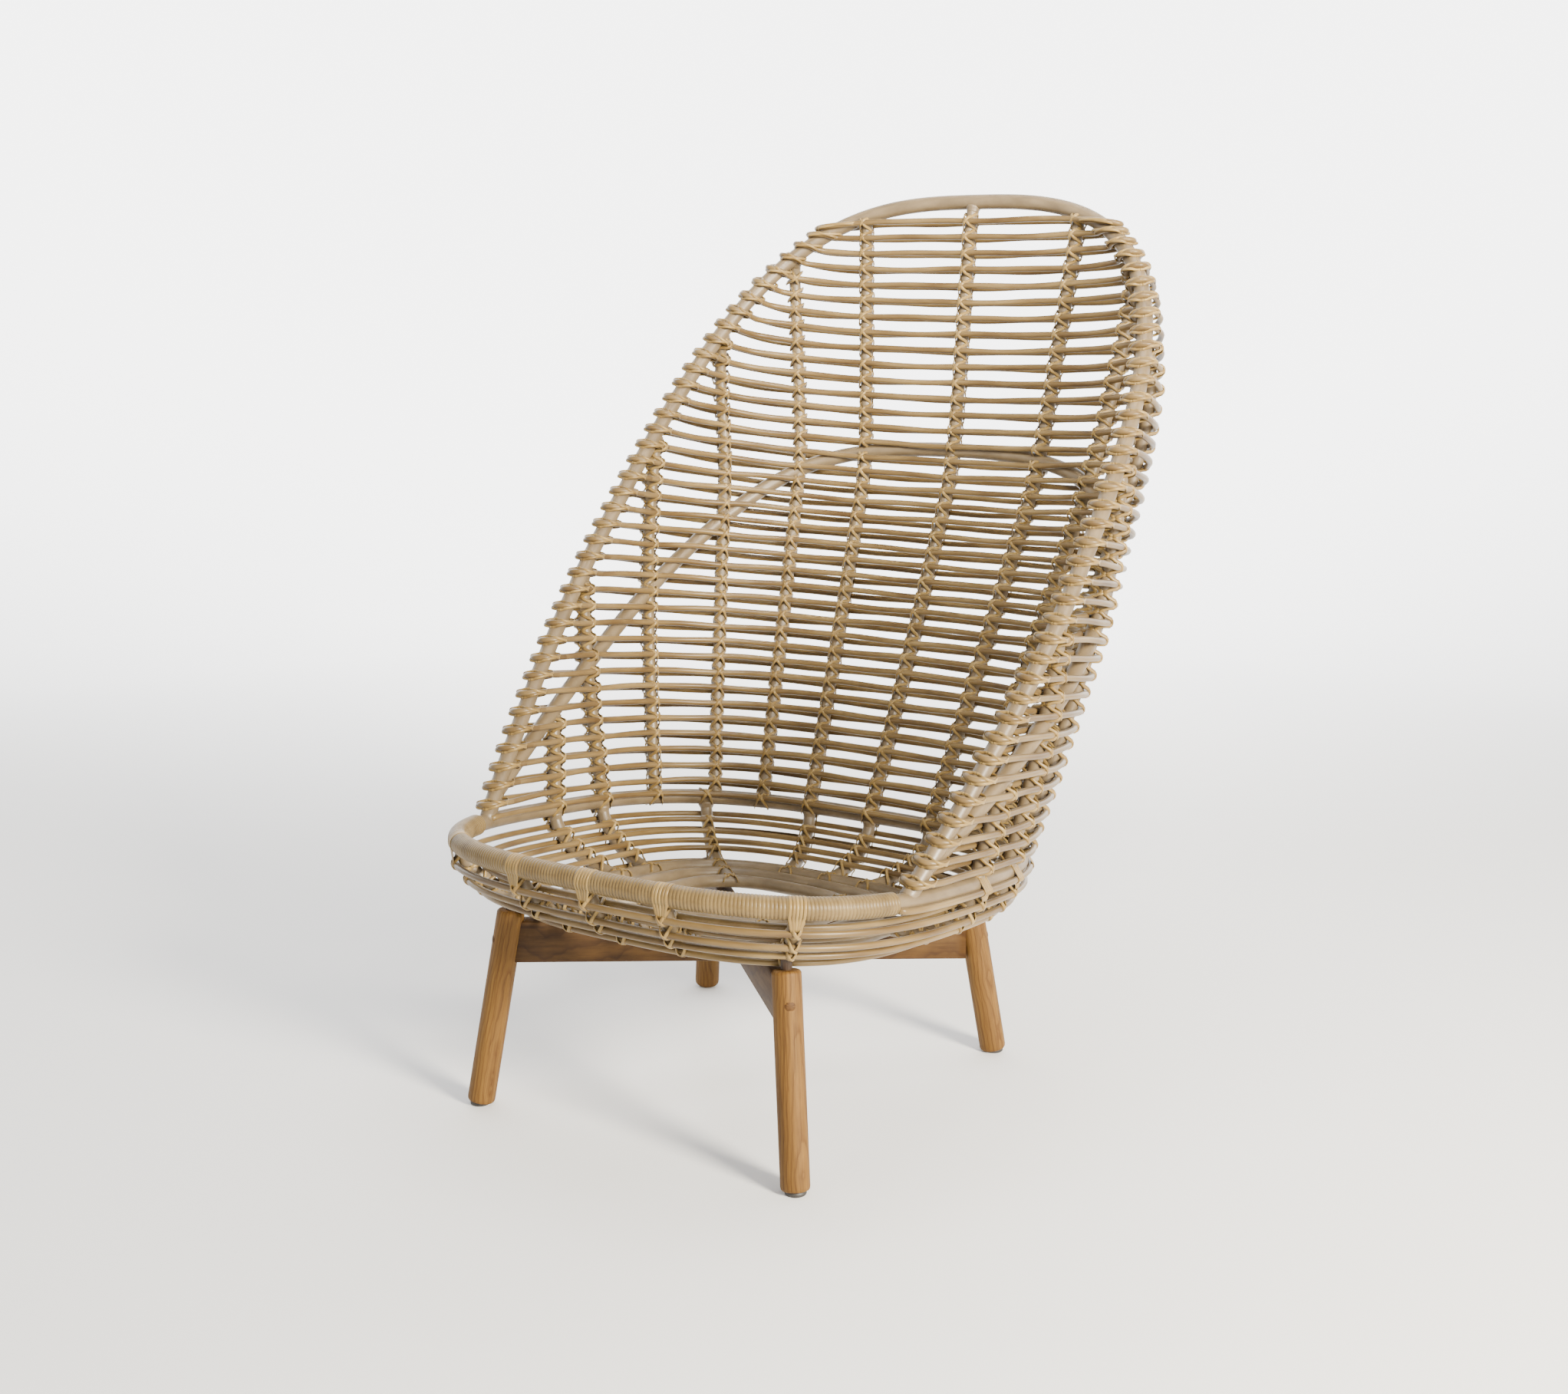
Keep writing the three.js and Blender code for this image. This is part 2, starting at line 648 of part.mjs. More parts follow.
// Signed distances along a level where a cane takes a bend: ribs, arch crossings, hoop ends.
function bendDistances(share) {
  const total = section(share).total;
  const ribs = RIB_AT_RING.map((_, j) => ribDistance(j, share));
  const half = ribs.filter((d) => d > 0 && d < total - 2 * overFrame);
  const height = (d) => aboveArch(shellPoint(share, d));
  const marks = [0, ...half, total];
  for (let i = 1; i < marks.length; i++)
    if (height(marks[i - 1]) * height(marks[i]) < 0)
      half.push(bisect(height, marks[i - 1], marks[i]));
  half.push(total);
  half.sort((a, b) => a - b);
  return [...half.map((d) => -d).reverse(), 0, ...half];
}

// A point kept clear of the hoop.
function clearOfHoop(point) {
  const near = new THREE.Vector3();
  const nearest = new THREE.Vector3();
  let least = Infinity;
  for (let i = 1; i < hoopLine.length; i++) {
    new THREE.Line3(hoopLine[i - 1], hoopLine[i]).closestPointToPoint(point, true, near);
    if (near.distanceTo(point) >= least) continue;
    least = near.distanceTo(point);
    nearest.copy(near);
  }
  if (least >= overFrame) return point;
  return point.sub(nearest).setLength(overFrame).add(nearest);
}

// One pass of cane along a level, inside (-1) or outside (+1) the ribs, left to right.
function pass(share, layer) {
  const total = section(share).total;
  const place = (distance) => {
    const point = shellPoint(share, distance);
    const edge = total - Math.abs(distance) < 3 * FRAME_TUBE_DIAMETER;
    const wide = edge || Math.abs(aboveArch(point)) < NEAR_ARCH;
    const offset = layer * (wide ? overFrame : overRib);
    return clearOfHoop(point.addScaledVector(shellNormal(share, distance), offset));
  };
  const marks = bendDistances(share);
  const points = [];
  for (let i = 1; i < marks.length; i++) {
    const edge = i === 1 || i === marks.length - 1;
    const bay = Array.from({ length: BAY_STEPS + 1 }, (_, n) =>
      place(marks[i - 1] + ((marks[i] - marks[i - 1]) * n) / BAY_STEPS),
    );
    points.push(...simplified(bay, edge ? EDGE_TOLERANCE : BAY_TOLERANCE).slice(1));
  }
  return points.slice(0, -1);
}

// A half turn of cane round the right side of the hoop, from one level inside to another outside.
function hoopTurn(inside, outside) {
  const points = [];
  for (let i = 0; i <= TURN_STEPS; i++) {
    const share = inside + ((outside - inside) * i) / TURN_STEPS;
    const level = section(share);
    const along = hoopByShare(Math.max(share - 0.01, 0)).sub(hoopByShare(Math.min(share + 0.01, 1)));
    const normal = shellNormal(share, level.total);
    const inward = normal.addScaledVector(along.normalize(), -normal.dot(along)).normalize().negate();
    const forward = along.clone().cross(inward);
    if (forward.y > 0) forward.negate();
    const turn = (i / TURN_STEPS) * Math.PI;
    const point = level.hoop.clone();
    point.addScaledVector(inward, overFrame * Math.cos(turn));
    points.push(point.addScaledVector(forward, overFrame * Math.sin(turn)));
  }
  return points;
}

// One length of cane that weaves several courses: along the inside of a level, round the hoop on
// the right, back along the outside, and round the hoop on the left down to the next level.
function strandRun(first, last) {
  const points = [mirrored(hoopTurn(courseShare(first), courseShare(first))[0])];
  for (let k = first; k <= last; k++) {
    const here = courseShare(k);
    const next = k < last ? courseShare(k + 1) : here;
    points.push(...pass(here, -1), ...hoopTurn(here, here), ...pass(here, 1).reverse());
    const down = hoopTurn(next, here).reverse().map(mirrored);
    points.push(...(k < last ? down : down.slice(0, 1)));
  }
  return points;
}

// Weave of the bowl: a spiral of cane on one side of the spokes.
function bowlStrand(turns, shares, layer, offset) {
  const stops = spokeAngles();
  const angles = stops.flatMap((angle, i) => {
    const next = i + 1 < stops.length ? stops[i + 1] : stops[0] + 2 * Math.PI;
    const bay = (ringPoint(angle).distanceTo(ringPoint(next)) * (shares[0] + shares[1])) / 2;
    return bay > LONG_BAY ? [angle, (angle + next) / 2] : [angle];
  });
  const steps = turns * angles.length;
  const points = [];
  for (let i = 0; i <= steps; i++) {
    const share = shares[0] + ((shares[1] - shares[0]) * i) / steps;
    const angle = angles[i % angles.length];
    points.push(bowlPoint(angle, share).addScaledVector(bowlNormal(angle, share), layer * offset));
  }
  return points;
}

// Wooden base

const legLean = new THREE.Vector3(-LEG_SPLAY_X, -LEG_SPLAY_Y, LEG_HEIGHT);
const footPoint = new THREE.Vector3(legTopX + LEG_SPLAY_X, legTopY + LEG_SPLAY_Y, 0);
const railDirection = new THREE.Vector3(legTopX, legTopY, 0).normalize();
const railMiddle = railTop - RAIL_HEIGHT / 2;
const CORNERS = { fl: [-1, -1], fr: [1, -1], bl: [-1, 1], br: [1, 1] };

const atCorner = (point, [sx, sy]) => new THREE.Vector3(point.x * sx, point.y * sy, point.z);
const legAxisAt = (z) => footPoint.clone().addScaledVector(legLean, z / LEG_HEIGHT);

// The front legs have the full height; the back ones lean alike and end lower, under the bowl.
function legTopHeight([, sy]) {
  if (sy < 0) return LEG_HEIGHT;
  return (LEG_HEIGHT + seatFall(footPoint.y)) / (1 + (RING_SLOPE * LEG_SPLAY_Y) / LEG_HEIGHT);
}

// A round bar along a line, from a solid turned about Z.
function alongLine(geometry, start, direction) {
  const turn = new THREE.Quaternion().setFromUnitVectors(UP, direction.clone().normalize());
  return geometry.applyQuaternion(turn).translate(start.x, start.y, start.z);
}

function legBar(corner, radius, chamfer, above = 0) {
  const below = LEG_DIAMETER;
  const length = (legLean.length() * legTopHeight(corner)) / LEG_HEIGHT + above;
  const bar = turned([
    [0, -below],
    [radius, -below],
    [radius, length - chamfer],
    [radius - chamfer, length],
    [0, length],
  ]);
  return solidOf(alongLine(bar, atCorner(footPoint, corner), atCorner(legLean, corner)));
}

// The bore under a plug and the plug in it lie along the rail, on the leg's outer side.
function plugBar(corner, radius, depth) {
  const outward = atCorner(railDirection, corner);
  const middle = atCorner(legAxisAt(railMiddle + seatFall(legTopY * corner[1])), corner);
  const face = middle.addScaledVector(outward, LEG_DIAMETER / 2 - depth);
  const bar = turned([[0, 0], [radius, 0], [radius, 2 * depth], [0, 2 * depth]], PLUG_SIDES);
  return solidOf(alongLine(bar, face, outward));
}

function legSolid(corner) {
  const cut = LEG_DIAMETER * 2;
  const floorCut = new THREE.BoxGeometry(cut, cut, cut);
  const foot = atCorner(footPoint, corner);
  floorCut.translate(foot.x, foot.y, GLIDE_HEIGHT + FIT - cut / 2);
  const bore = plugBar(corner, PLUG_DIAMETER / 2 + FIT, PLUG_DEPTH + FIT);
  return legBar(corner, LEG_DIAMETER / 2, LEG_CHAMFER).subtract(solidOf(floorCut)).subtract(bore);
}

function plugSolid(corner) {
  const bar = plugBar(corner, PLUG_DIAMETER / 2, PLUG_DEPTH);
  return bar.intersect(legBar(corner, LEG_DIAMETER / 2, LEG_CHAMFER));
}

function glideGeometry() {
  const radius = GLIDE_DIAMETER / 2;
  return turned([
    [0, 0],
    [radius - GLIDE_CHAMFER, 0],
    [radius, GLIDE_CHAMFER],
    [radius, GLIDE_HEIGHT],
    [0, GLIDE_HEIGHT],
  ]);
}

// The rails fall towards the back with the seat; their faces stay upright.
const fallen = (geometry) =>
  geometry.applyMatrix4(
    new THREE.Matrix4().set(1, 0, 0, 0, 0, 1, 0, 0, 0, RING_SLOPE, 1, seatFall(0), 0, 0, 0, 1),
  );

// One of the two crossing rails; the upper one keeps the top half of the lap.
function railSolid(sign, keepsTop) {
  const reach = Math.hypot(legTopX, legTopY);
  const angle = Math.atan2(railDirection.y, sign * railDirection.x);
  const board = new THREE.BoxGeometry(2 * reach, RAIL_THICKNESS, RAIL_HEIGHT);
  board.rotateZ(angle).translate(0, 0, railMiddle);
  const lap = new THREE.BoxGeometry(2 * RAIL_THICKNESS, RAIL_THICKNESS + 2 * FIT, RAIL_HEIGHT / 2 + FIT);
  lap.rotateZ(Math.PI - angle).translate(0, 0, railMiddle + ((keepsTop ? -1 : 1) * RAIL_HEIGHT) / 4);
  const legs = Object.values(CORNERS).map((corner) => legBar(corner, LEG_DIAMETER / 2 + FIT, 0));
  const cut = legs.reduce((solid, leg) => solid.subtract(leg), solidOf(fallen(board)));
  return mainBody(cut.subtract(solidOf(fallen(lap))));
}

// A spacer stands on a leg's top and is cut to the round of the spoke above it.
function spacerSolid(corner) {
  const topHeight = legTopHeight(corner);
  const top = legAxisAt(topHeight);
  const rightAngle = corner[1] > 0 ? cornerAngle : Math.PI - cornerAngle;
  const angle = corner[0] > 0 ? rightAngle : 2 * Math.PI - rightAngle;
  const spokeRoom = solidOf(tube(spokeRun(angle), ribRadius + FIT, RIB_SIDES));
  const rim = ringPoint(angle);
  const share = Math.hypot(top.x, top.y) / Math.hypot(rim.x, rim.y);
  const sink = SPACER_DIAMETER / 2;
  const height = bowlPoint(angle, share).z - topHeight + sink;
  const radius = SPACER_DIAMETER / 2;
  const place = atCorner(top, corner);
  const bar = turned([[0, 0], [radius, 0], [radius, height], [0, height]]);
  const stem = solidOf(bar.translate(place.x, place.y, topHeight - sink));
  return mainBody(stem.subtract(spokeRoom).subtract(legBar(corner, LEG_DIAMETER, 0, FIT)));
}

// Assembly

const assembly = new THREE.Group();

function add(name, geometry, finish) {
  const mesh = new THREE.Mesh(geometry, new THREE.MeshStandardMaterial(finish));
  mesh.name = name;
  assembly.add(mesh);
  return mesh;
}

const flip = (solid) => {
  const geometry = geometryOf(solid).scale(-1, 1, 1);
  const index = geometry.index.array;
  for (let i = 0; i < index.length; i += 3) [index[i + 1], index[i + 2]] = [index[i + 2], index[i + 1]];
  return geometry;
};

add("hoop_tube", geometryOf(hoopSolid), FRAME_FINISH);
add("seat_ring_tube", tube(ringAxis, frameRadius, TUBE_SIDES, true), FRAME_FINISH);
add("back_arch_tube", geometryOf(archSolid), FRAME_FINISH);

function addRibs(name, make, count) {
  for (let j = 0; j < count; j++) {
    const rib = make(j);
    add(j === 0 ? name + "_middle" : name + "_right_" + j, geometryOf(rib), FRAME_FINISH);
    if (j > 0) add(name + "_left_" + j, flip(rib), FRAME_FINISH);
  }
}
addRibs("rib_lower", lowerRib, RIB_AT_RING.length);
addRibs("rib_upper", upperRib, UPPER_RIBS);

const spider = spiderSolid();
add("seat_spider", geometryOf(spider), FRAME_FINISH);

for (let i = 0; i < STRAND_COUNT; i++) {
  const first = Math.round((i * COURSE_COUNT) / STRAND_COUNT) + 1;
  const last = Math.round(((i + 1) * COURSE_COUNT) / STRAND_COUNT);
  add("back_weave_" + (i + 1), tube(strandRun(first, last), caneReach, CANE_SIDES), CANE_FINISH);
}

// The canes outside the bowl leave room between them for the spacers on the legs.
const cornerRim = ringPoint(cornerAngle);
const besideSpacer = (corner, room) => {
  const top = legAxisAt(legTopHeight(corner));
  return (Math.hypot(top.x, top.y) + room) / Math.hypot(cornerRim.x, cornerRim.y);
};
const outerEnd = besideSpacer(CORNERS.br, SPACER_DIAMETER / 2 + OUTER_CANE_TO_SPACER);
const floorStart = besideSpacer(CORNERS.fr, -SPACER_DIAMETER / 2 - FLOOR_CANE_TO_SPACER);
const outerShares = [BOWL_OUTER_START, outerEnd];
const floorShares = [floorStart, BOWL_FLOOR_END];
const bowlCane = (...course) => tube(bowlStrand(...course), caneReach, CANE_SIDES);
add("bowl_weave_outer", bowlCane(BOWL_OUTER_TURNS, outerShares, 1, underSpoke), CANE_FINISH);
add("bowl_weave_inner", bowlCane(BOWL_INNER_TURNS, BOWL_INNER_SHARES, -1, overSpoke), CANE_FINISH);
const underFloor = underSpoke - 4 * FIT;
add("bowl_weave_floor", bowlCane(BOWL_FLOOR_TURNS, floorShares, 1, underFloor), CANE_FINISH);
add("front_rail_winding", wrapGeometry(), WRAP_FINISH);

for (const [name, corner] of Object.entries(CORNERS)) {
  add("leg_" + name, geometryOf(legSolid(corner)), WOOD_FINISH);
  add("leg_plug_" + name, geometryOf(plugSolid(corner)), PLUG_FINISH);
  add("leg_spacer_" + name, geometryOf(spacerSolid(corner)), DARK_FINISH);
  const glide = add("floor_glide_" + name, glideGeometry(), DARK_FINISH);
  glide.position.copy(atCorner(footPoint, corner));
}
add("cross_rail_upper", geometryOf(railSolid(1, true)), WOOD_FINISH);
add("cross_rail_lower", geometryOf(railSolid(-1, false)), WOOD_FINISH);

// The part's origin is the middle of its footprint on the floor.
const bounds = new THREE.Box3().setFromObject(assembly);
assembly.position.y = -(bounds.min.y + bounds.max.y) / 2;

const chair = new THREE.Group();
chair.add(assembly);
export default chair;
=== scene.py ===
"""Woven high-back lounge chair: smooth tubes, round cane, flat cane bindings and a wooden base."""

import math

import bpy
import numpy as np
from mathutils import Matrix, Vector


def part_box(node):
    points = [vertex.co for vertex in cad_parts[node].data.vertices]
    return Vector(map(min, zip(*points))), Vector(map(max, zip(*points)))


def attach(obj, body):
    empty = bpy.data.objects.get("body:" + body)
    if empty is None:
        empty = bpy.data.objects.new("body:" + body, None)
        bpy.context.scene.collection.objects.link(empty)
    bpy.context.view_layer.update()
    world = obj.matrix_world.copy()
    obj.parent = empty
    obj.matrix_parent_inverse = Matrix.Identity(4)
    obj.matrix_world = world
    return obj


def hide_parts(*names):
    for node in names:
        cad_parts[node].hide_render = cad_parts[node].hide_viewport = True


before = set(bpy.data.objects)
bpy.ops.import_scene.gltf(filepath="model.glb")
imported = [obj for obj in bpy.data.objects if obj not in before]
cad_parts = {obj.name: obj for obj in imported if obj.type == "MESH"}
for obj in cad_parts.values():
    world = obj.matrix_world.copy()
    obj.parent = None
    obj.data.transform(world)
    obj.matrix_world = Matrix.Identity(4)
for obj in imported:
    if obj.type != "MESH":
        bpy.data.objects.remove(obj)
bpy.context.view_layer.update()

# Sizes are in millimetres, measured from the middle of the four feet, as in the CAD source.
# Shares run from 0 to 1: down the shell from its first course, or out from the bowl's middle.
MM = 1000.0
TURN = 2 * math.pi
TINY = 1e-6
UP = np.array([0.0, 0.0, 1.0])

# Seat ring
RING_HALF = 335.0
RING_SQUARENESS = 2.9
RING_HEIGHT = 326.0
RING_SLOPE = -0.114

# Hoop
HOOP_BASE_X = 322.0
HOOP_BASE_Y = -145.0
HOOP_HALF_WIDTH = 380.0
HOOP_WIDEST_Z = 686.0
HOOP_TOP_Z = 1174.0
HOOP_LEAN = math.tan(math.radians(44.1))
HOOP_SQUARENESS = 2.9
HOOP_FLARE_POWER = 1.7
HOOP_CROWN_SETBACK = 28.0
HOOP_CROWN_POWER = 3.2

# Back profile, and the shell between it and the hoop
BACK_LOWER_LEAN = math.tan(math.radians(26.8))
BACK_UPPER_LEAN = math.tan(math.radians(6.6))
BACK_KNEE_Z = 772.0
BACK_KNEE_RADIUS = 40.0
FIRST_COURSE_HOOP_Z = 1140.0
FIRST_COURSE_BACK_Z = 1145.0
SHELL_ROUNDING = 0.45
SHELL_SETBACK_POWER = 3
PROBE = 4.0
PROBE_MARGIN = 5.0
PROBE_SHARE = 0.012

# Back arch, and ribs by their distance from the middle at the ring and their fan above it
ARCH_FOOT_Z = 375.0
ARCH_TOP_Z = 806.0
ARCH_DISH = 24.0
RIB_AT_RING = [0, 102, 178, 251, 346, 443, 546]
RIB_FAN = [0, 76, 125, 205, 285, 418, 300]
LAST_RIB = len(RIB_AT_RING) - 1

# Tubes and cane
FRAME_RADIUS = 11.0
FRAME_STEP = 10.0
FRAME_SIDES = 20
RIB_RADIUS = 9.0
RIB_STEP = 9.0
RIB_SIDES = 16
CANE_RADIUS = 4.3
CANE_STEP = 6.0
CANE_SIDES = 10
RIB_GAP = 0.3
FRAME_GAP = 0.4
OVER_RIB = RIB_RADIUS + CANE_RADIUS + RIB_GAP
OVER_FRAME = FRAME_RADIUS + CANE_RADIUS + FRAME_GAP
WELD_START = FRAME_RADIUS - 1
WELD_MARKS = np.array([-0.35, 0.0, 0.12, 0.3, 0.55, 0.9]) * RIB_RADIUS
WELD_FLARE = np.array([1.2, 1.19, 1.15, 1.08, 1.03, 0.99]) * RIB_RADIUS

# Courses of the back: heights, lengths and paces of the waves in a cane
COURSES = 38
STRANDS = 9
WAVES = ((0.9, 47.0, 1.0), (0.6, 23.0, 2.3))
DRIFT_RANGE = 6.28
OUTSIDE_DRIFT = 1.7
NEAR_ARCH = (14, 46)
NEAR_HOOP = (10, 60)
TURN_ROOM = 26.0
LEAST_SLANT = 0.3

# Flat cane bindings
BIND_WIDTH = 4.6
BIND_THICKNESS = 1.5
BIND_PROFILE = [(-0.5, 0.0), (0.5, 0.0), (0.47, 0.55), (0.2, 1.0), (-0.2, 1.0), (-0.47, 0.55)]
TIE_MARKS = np.array([-1.0, -0.8, -0.6, -0.42, -0.24, -0.1, 0.0, 0.1, 0.24, 0.42, 0.6, 0.8, 1.0])
TIE_SPREAD = ([0, 0.42, 0.8, 1], [0, 0.46, 0.92, 1.06])
TIE_DEPTH_MARKS = [0, 0.24, 0.42, 0.6, 0.8, 1]
TIE_LIFTS = ((1, 0.5), (-1, -0.4))
TIE_RISE = 12.0
TIE_SINK = 0.1
TIE_GAP = 0.3
TIE_JITTER = 0.6
TIE_HOOP_ROOM = 15.0
TIE_TOP_ROOM = 0.004
HOOP_TIE_SIZE = (4.0, 1.4)
HOOP_TIE_REACH = 7.4
HOOP_TIE_EASE = 0.25
HOOP_TIE_CLEAR = 1.2
HOOP_TIE_SINK = 0.9

# Bowl under the seat ring
BOWL_FLOOR_Z = 272.2
BOWL_FLOOR_SHARE = 0.62
BOWL_RING_SHARES = [0.36, 0.5, 0.64]
BOWL_CANE_STEP = 9.0
BOWL_PROBE = 0.004
BOWL_COURSES = (
    ("outer", 1, [0.985, 0.95, 0.908]),
    ("floor", 1, [0.785, 0.715]),
    ("inner", -1, [0.95, 0.89, 0.825, 0.755]),
)
SPOKE_STEP = 8.0
SPOKE_RIBS = (0, 1, 5, 6)
FRONT_SPOKE_X = 110.0
ANGLE_PROBE = 0.01

# Winding of the front rail
WRAP_TURNS = 178
WRAP_RADIUS = 13.8
WRAP_END_Y = -170.0
WRAP_SIDES = 28
WRAP_STEPS = 6
WRAP_GROOVE = 0.65
WRAP_CROWN = 1.05
WRAP_END_LENGTH = 0.5
WRAP_END_SCALE = 0.86
WRAP_STREAK = 4

# Canes and bands on the seat ring
UNDER_TILT = math.radians(-30)
INNER_TILT = math.radians(150)
RING_CANE_OUT = FRAME_RADIUS + CANE_RADIUS + 0.2
RING_CANE_END = 0.06
RING_CANE_SINK = 4.0
RING_TIE_TUBE = 1.05 * RIB_RADIUS
RING_TIE_RISE = 12.2
BAND_COUNT = 5
BAND_STEP = 4.3
BAND_SIZE = (3.9, 0.9)
BAND_TAIL = 4
BAND_OVER_WRAP = WRAP_RADIUS + 0.1
BAND_OVER_RING = FRAME_RADIUS + 0.2
BAND_OVER_CANE = CANE_RADIUS + 0.2
BAND_LEAVES_CANE = UNDER_TILT + math.acos((FRAME_RADIUS - CANE_RADIUS) / RING_CANE_OUT)
WOUND_ARC = (math.radians(-35), math.radians(200))
BARE_ARC = (BAND_LEAVES_CANE, math.radians(130))
CANE_ARC = (math.radians(-95), BAND_LEAVES_CANE)
WOUND_DROP = (5, 17)
SPOKE_DROP = (0.5, 8)
RIB_DROP = (0.5, 2)
BUNDLE_ROOM = 30.0

# Wooden base; turned profiles are pairs of distance along the axis and radius
CORNERS = {"fl": (-1, -1), "fr": (1, -1), "bl": (-1, 1), "br": (1, 1)}
LEG_RADIUS = 18.0
LEG_HEIGHT = 262.0
FOOT = (244.0, 262.0)
LEG_TOP = (210.0, 229.0)
RAIL_HEIGHT = 56.0
RAIL_THICKNESS = 24.0
RAIL_TOP = 250.0
RAIL_MIDDLE = RAIL_TOP - RAIL_HEIGHT / 2
RAIL_EDGE = 2.5
LAP_STEP = 0.15
PLUG_SUNK = 5.0
TIP = 0.01
LEG_LOWER_PROFILE = [(4, TIP), (4, 14.6), (4.8, 16.4), (6.2, 17.5), (9, LEG_RADIUS)]
LEG_UPPER_PROFILE = [(-3.0, -0.1), (-1.0, -1.4), (-0.1, -3.0), (0.0, -3.6)]
GLIDE_PROFILE = [(0, TIP), (0, 12.0), (0.5, 12.9), (1.6, 13.4), (6.0, 13.4), (6.0, TIP)]
PLUG_PROFILE = [(0, TIP), (0, 6.4), (4.0, 6.4), (4.7, 5.9), (5.3, 3.6), (5.5, TIP)]

# Camera and stage, in metres; the focal length is in the photograph's pixels
VIEW_AZIMUTH = math.radians(32.35)
VIEW_PITCH = math.radians(11.9)
VIEW_PLACE = (1.3747, -2.0727, 1.05)
FOCAL_PIXELS = 2540.0
PHOTO_WIDTH = 2044.0
SENSOR_WIDTH = 36.0
SWEEP_DISC = 1.5
SWEEP_FLOOR = 3.2
SWEEP_BEND = 1.8
SWEEP_HEIGHT = 6.0
SWEEP_SIDES = 40

ring_low, ring_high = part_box("seat_ring_tube")
SHIFT_Y = MM * (ring_low[1] + ring_high[1]) / 2
rng = np.random.RandomState(7)


# Curves of the frame


def unit(vector):
    length = np.linalg.norm(vector, axis=-1, keepdims=True)
    return vector / np.where(length > 0, length, 1)


def run_lengths(points):
    """How far along a polyline each of its points lies."""
    steps = np.linalg.norm(np.diff(points, axis=0), axis=1)
    return np.concatenate([[0.0], np.cumsum(steps)])


def resample(points, step, closed=False):
    """Points at even steps along a polyline."""
    line = np.vstack([points, points[:1]]) if closed else points
    lengths = run_lengths(line)
    count = max(int(round(lengths[-1] / step)), 2)
    marks = np.linspace(0, lengths[-1], count + 1)
    marks = marks[:-1] if closed else marks
    return np.stack([np.interp(marks, lengths, line[:, i]) for i in range(3)], axis=1)


def smoothed(points, rounds=2, closed=False):
    """Corners of a polyline rounded by averaging neighbours."""
    for _ in range(rounds):
        before, after = np.roll(points, 1, axis=0), np.roll(points, -1, axis=0)
        mixed = points * 0.5 + before * 0.25 + after * 0.25
        if not closed:
            mixed[0], mixed[-1] = points[0], points[-1]
        points = mixed
    return points


def mirrored(points):
    return points * np.array([-1.0, 1.0, 1.0])


def ring_z(y):
    return RING_HEIGHT + RING_SLOPE * y


def seat_fall(y):
    """How much lower the base and the bowl lie than over the front legs."""
    return RING_SLOPE * (y + LEG_TOP[1])


def full_turn(count):
    return np.linspace(0, TURN, count, endpoint=False)


def signed_power(value, exponent):
    return np.sign(value) * np.abs(value) ** exponent


def ring_point(angle):
    """Angle 0 is the back, a quarter turn the right side."""
    x = RING_HALF * signed_power(np.sin(angle), 2 / RING_SQUARENESS)
    y = RING_HALF * signed_power(np.cos(angle), 2 / RING_SQUARENESS)
    return np.array([x, y, ring_z(y)])


HOOP_BASE_Z = ring_z(HOOP_BASE_Y)


def hoop_point(z):
    """The right side of the hoop at a height."""
    rise = np.clip((z - HOOP_WIDEST_Z) / (HOOP_TOP_Z - HOOP_WIDEST_Z), 0, 1)
    fall = np.clip((HOOP_WIDEST_Z - z) / (HOOP_WIDEST_Z - HOOP_BASE_Z), 0, 1)
    low = HOOP_HALF_WIDTH - (HOOP_HALF_WIDTH - HOOP_BASE_X) * fall**HOOP_FLARE_POWER
    high = HOOP_HALF_WIDTH * (1 - rise**HOOP_SQUARENESS) ** (1 / HOOP_SQUARENESS)
    setback = HOOP_CROWN_SETBACK * rise**HOOP_CROWN_POWER
    y = HOOP_BASE_Y + (z - HOOP_BASE_Z) * HOOP_LEAN - setback
    return np.array([high if z > HOOP_WIDEST_Z else low, y, z])


def hoop_height_at(x):
    share = (1 - (x / HOOP_HALF_WIDTH) ** HOOP_SQUARENESS) ** (1 / HOOP_SQUARENESS)
    return HOOP_WIDEST_Z + (HOOP_TOP_Z - HOOP_WIDEST_Z) * share


def back_bend(z):
    """How far back the middle of the back lies at a height, apart from a constant."""
    d = z - BACK_KNEE_Z
    mean = (BACK_LOWER_LEAN + BACK_UPPER_LEAN) / 2
    change = (BACK_LOWER_LEAN - BACK_UPPER_LEAN) / 2
    return mean * d - change * math.hypot(d, BACK_KNEE_RADIUS)


def back_point(z):
    return np.array([0.0, RING_HALF + back_bend(z) - back_bend(ring_z(RING_HALF)), z])


def by_share(point, top, bottom):
    """A reader of points by their share of the length from top to bottom."""
    points = np.array([point(z) for z in np.linspace(top, bottom, 400)])
    lengths = run_lengths(points) / run_lengths(points)[-1]

    def read(share):
        return np.array([np.interp(share, lengths, points[:, i]) for i in range(3)])

    return read


hoop_by_share = by_share(hoop_point, FIRST_COURSE_HOOP_Z, HOOP_BASE_Z)
back_by_share = by_share(back_point, FIRST_COURSE_BACK_Z, ring_z(RING_HALF))
levels = {}


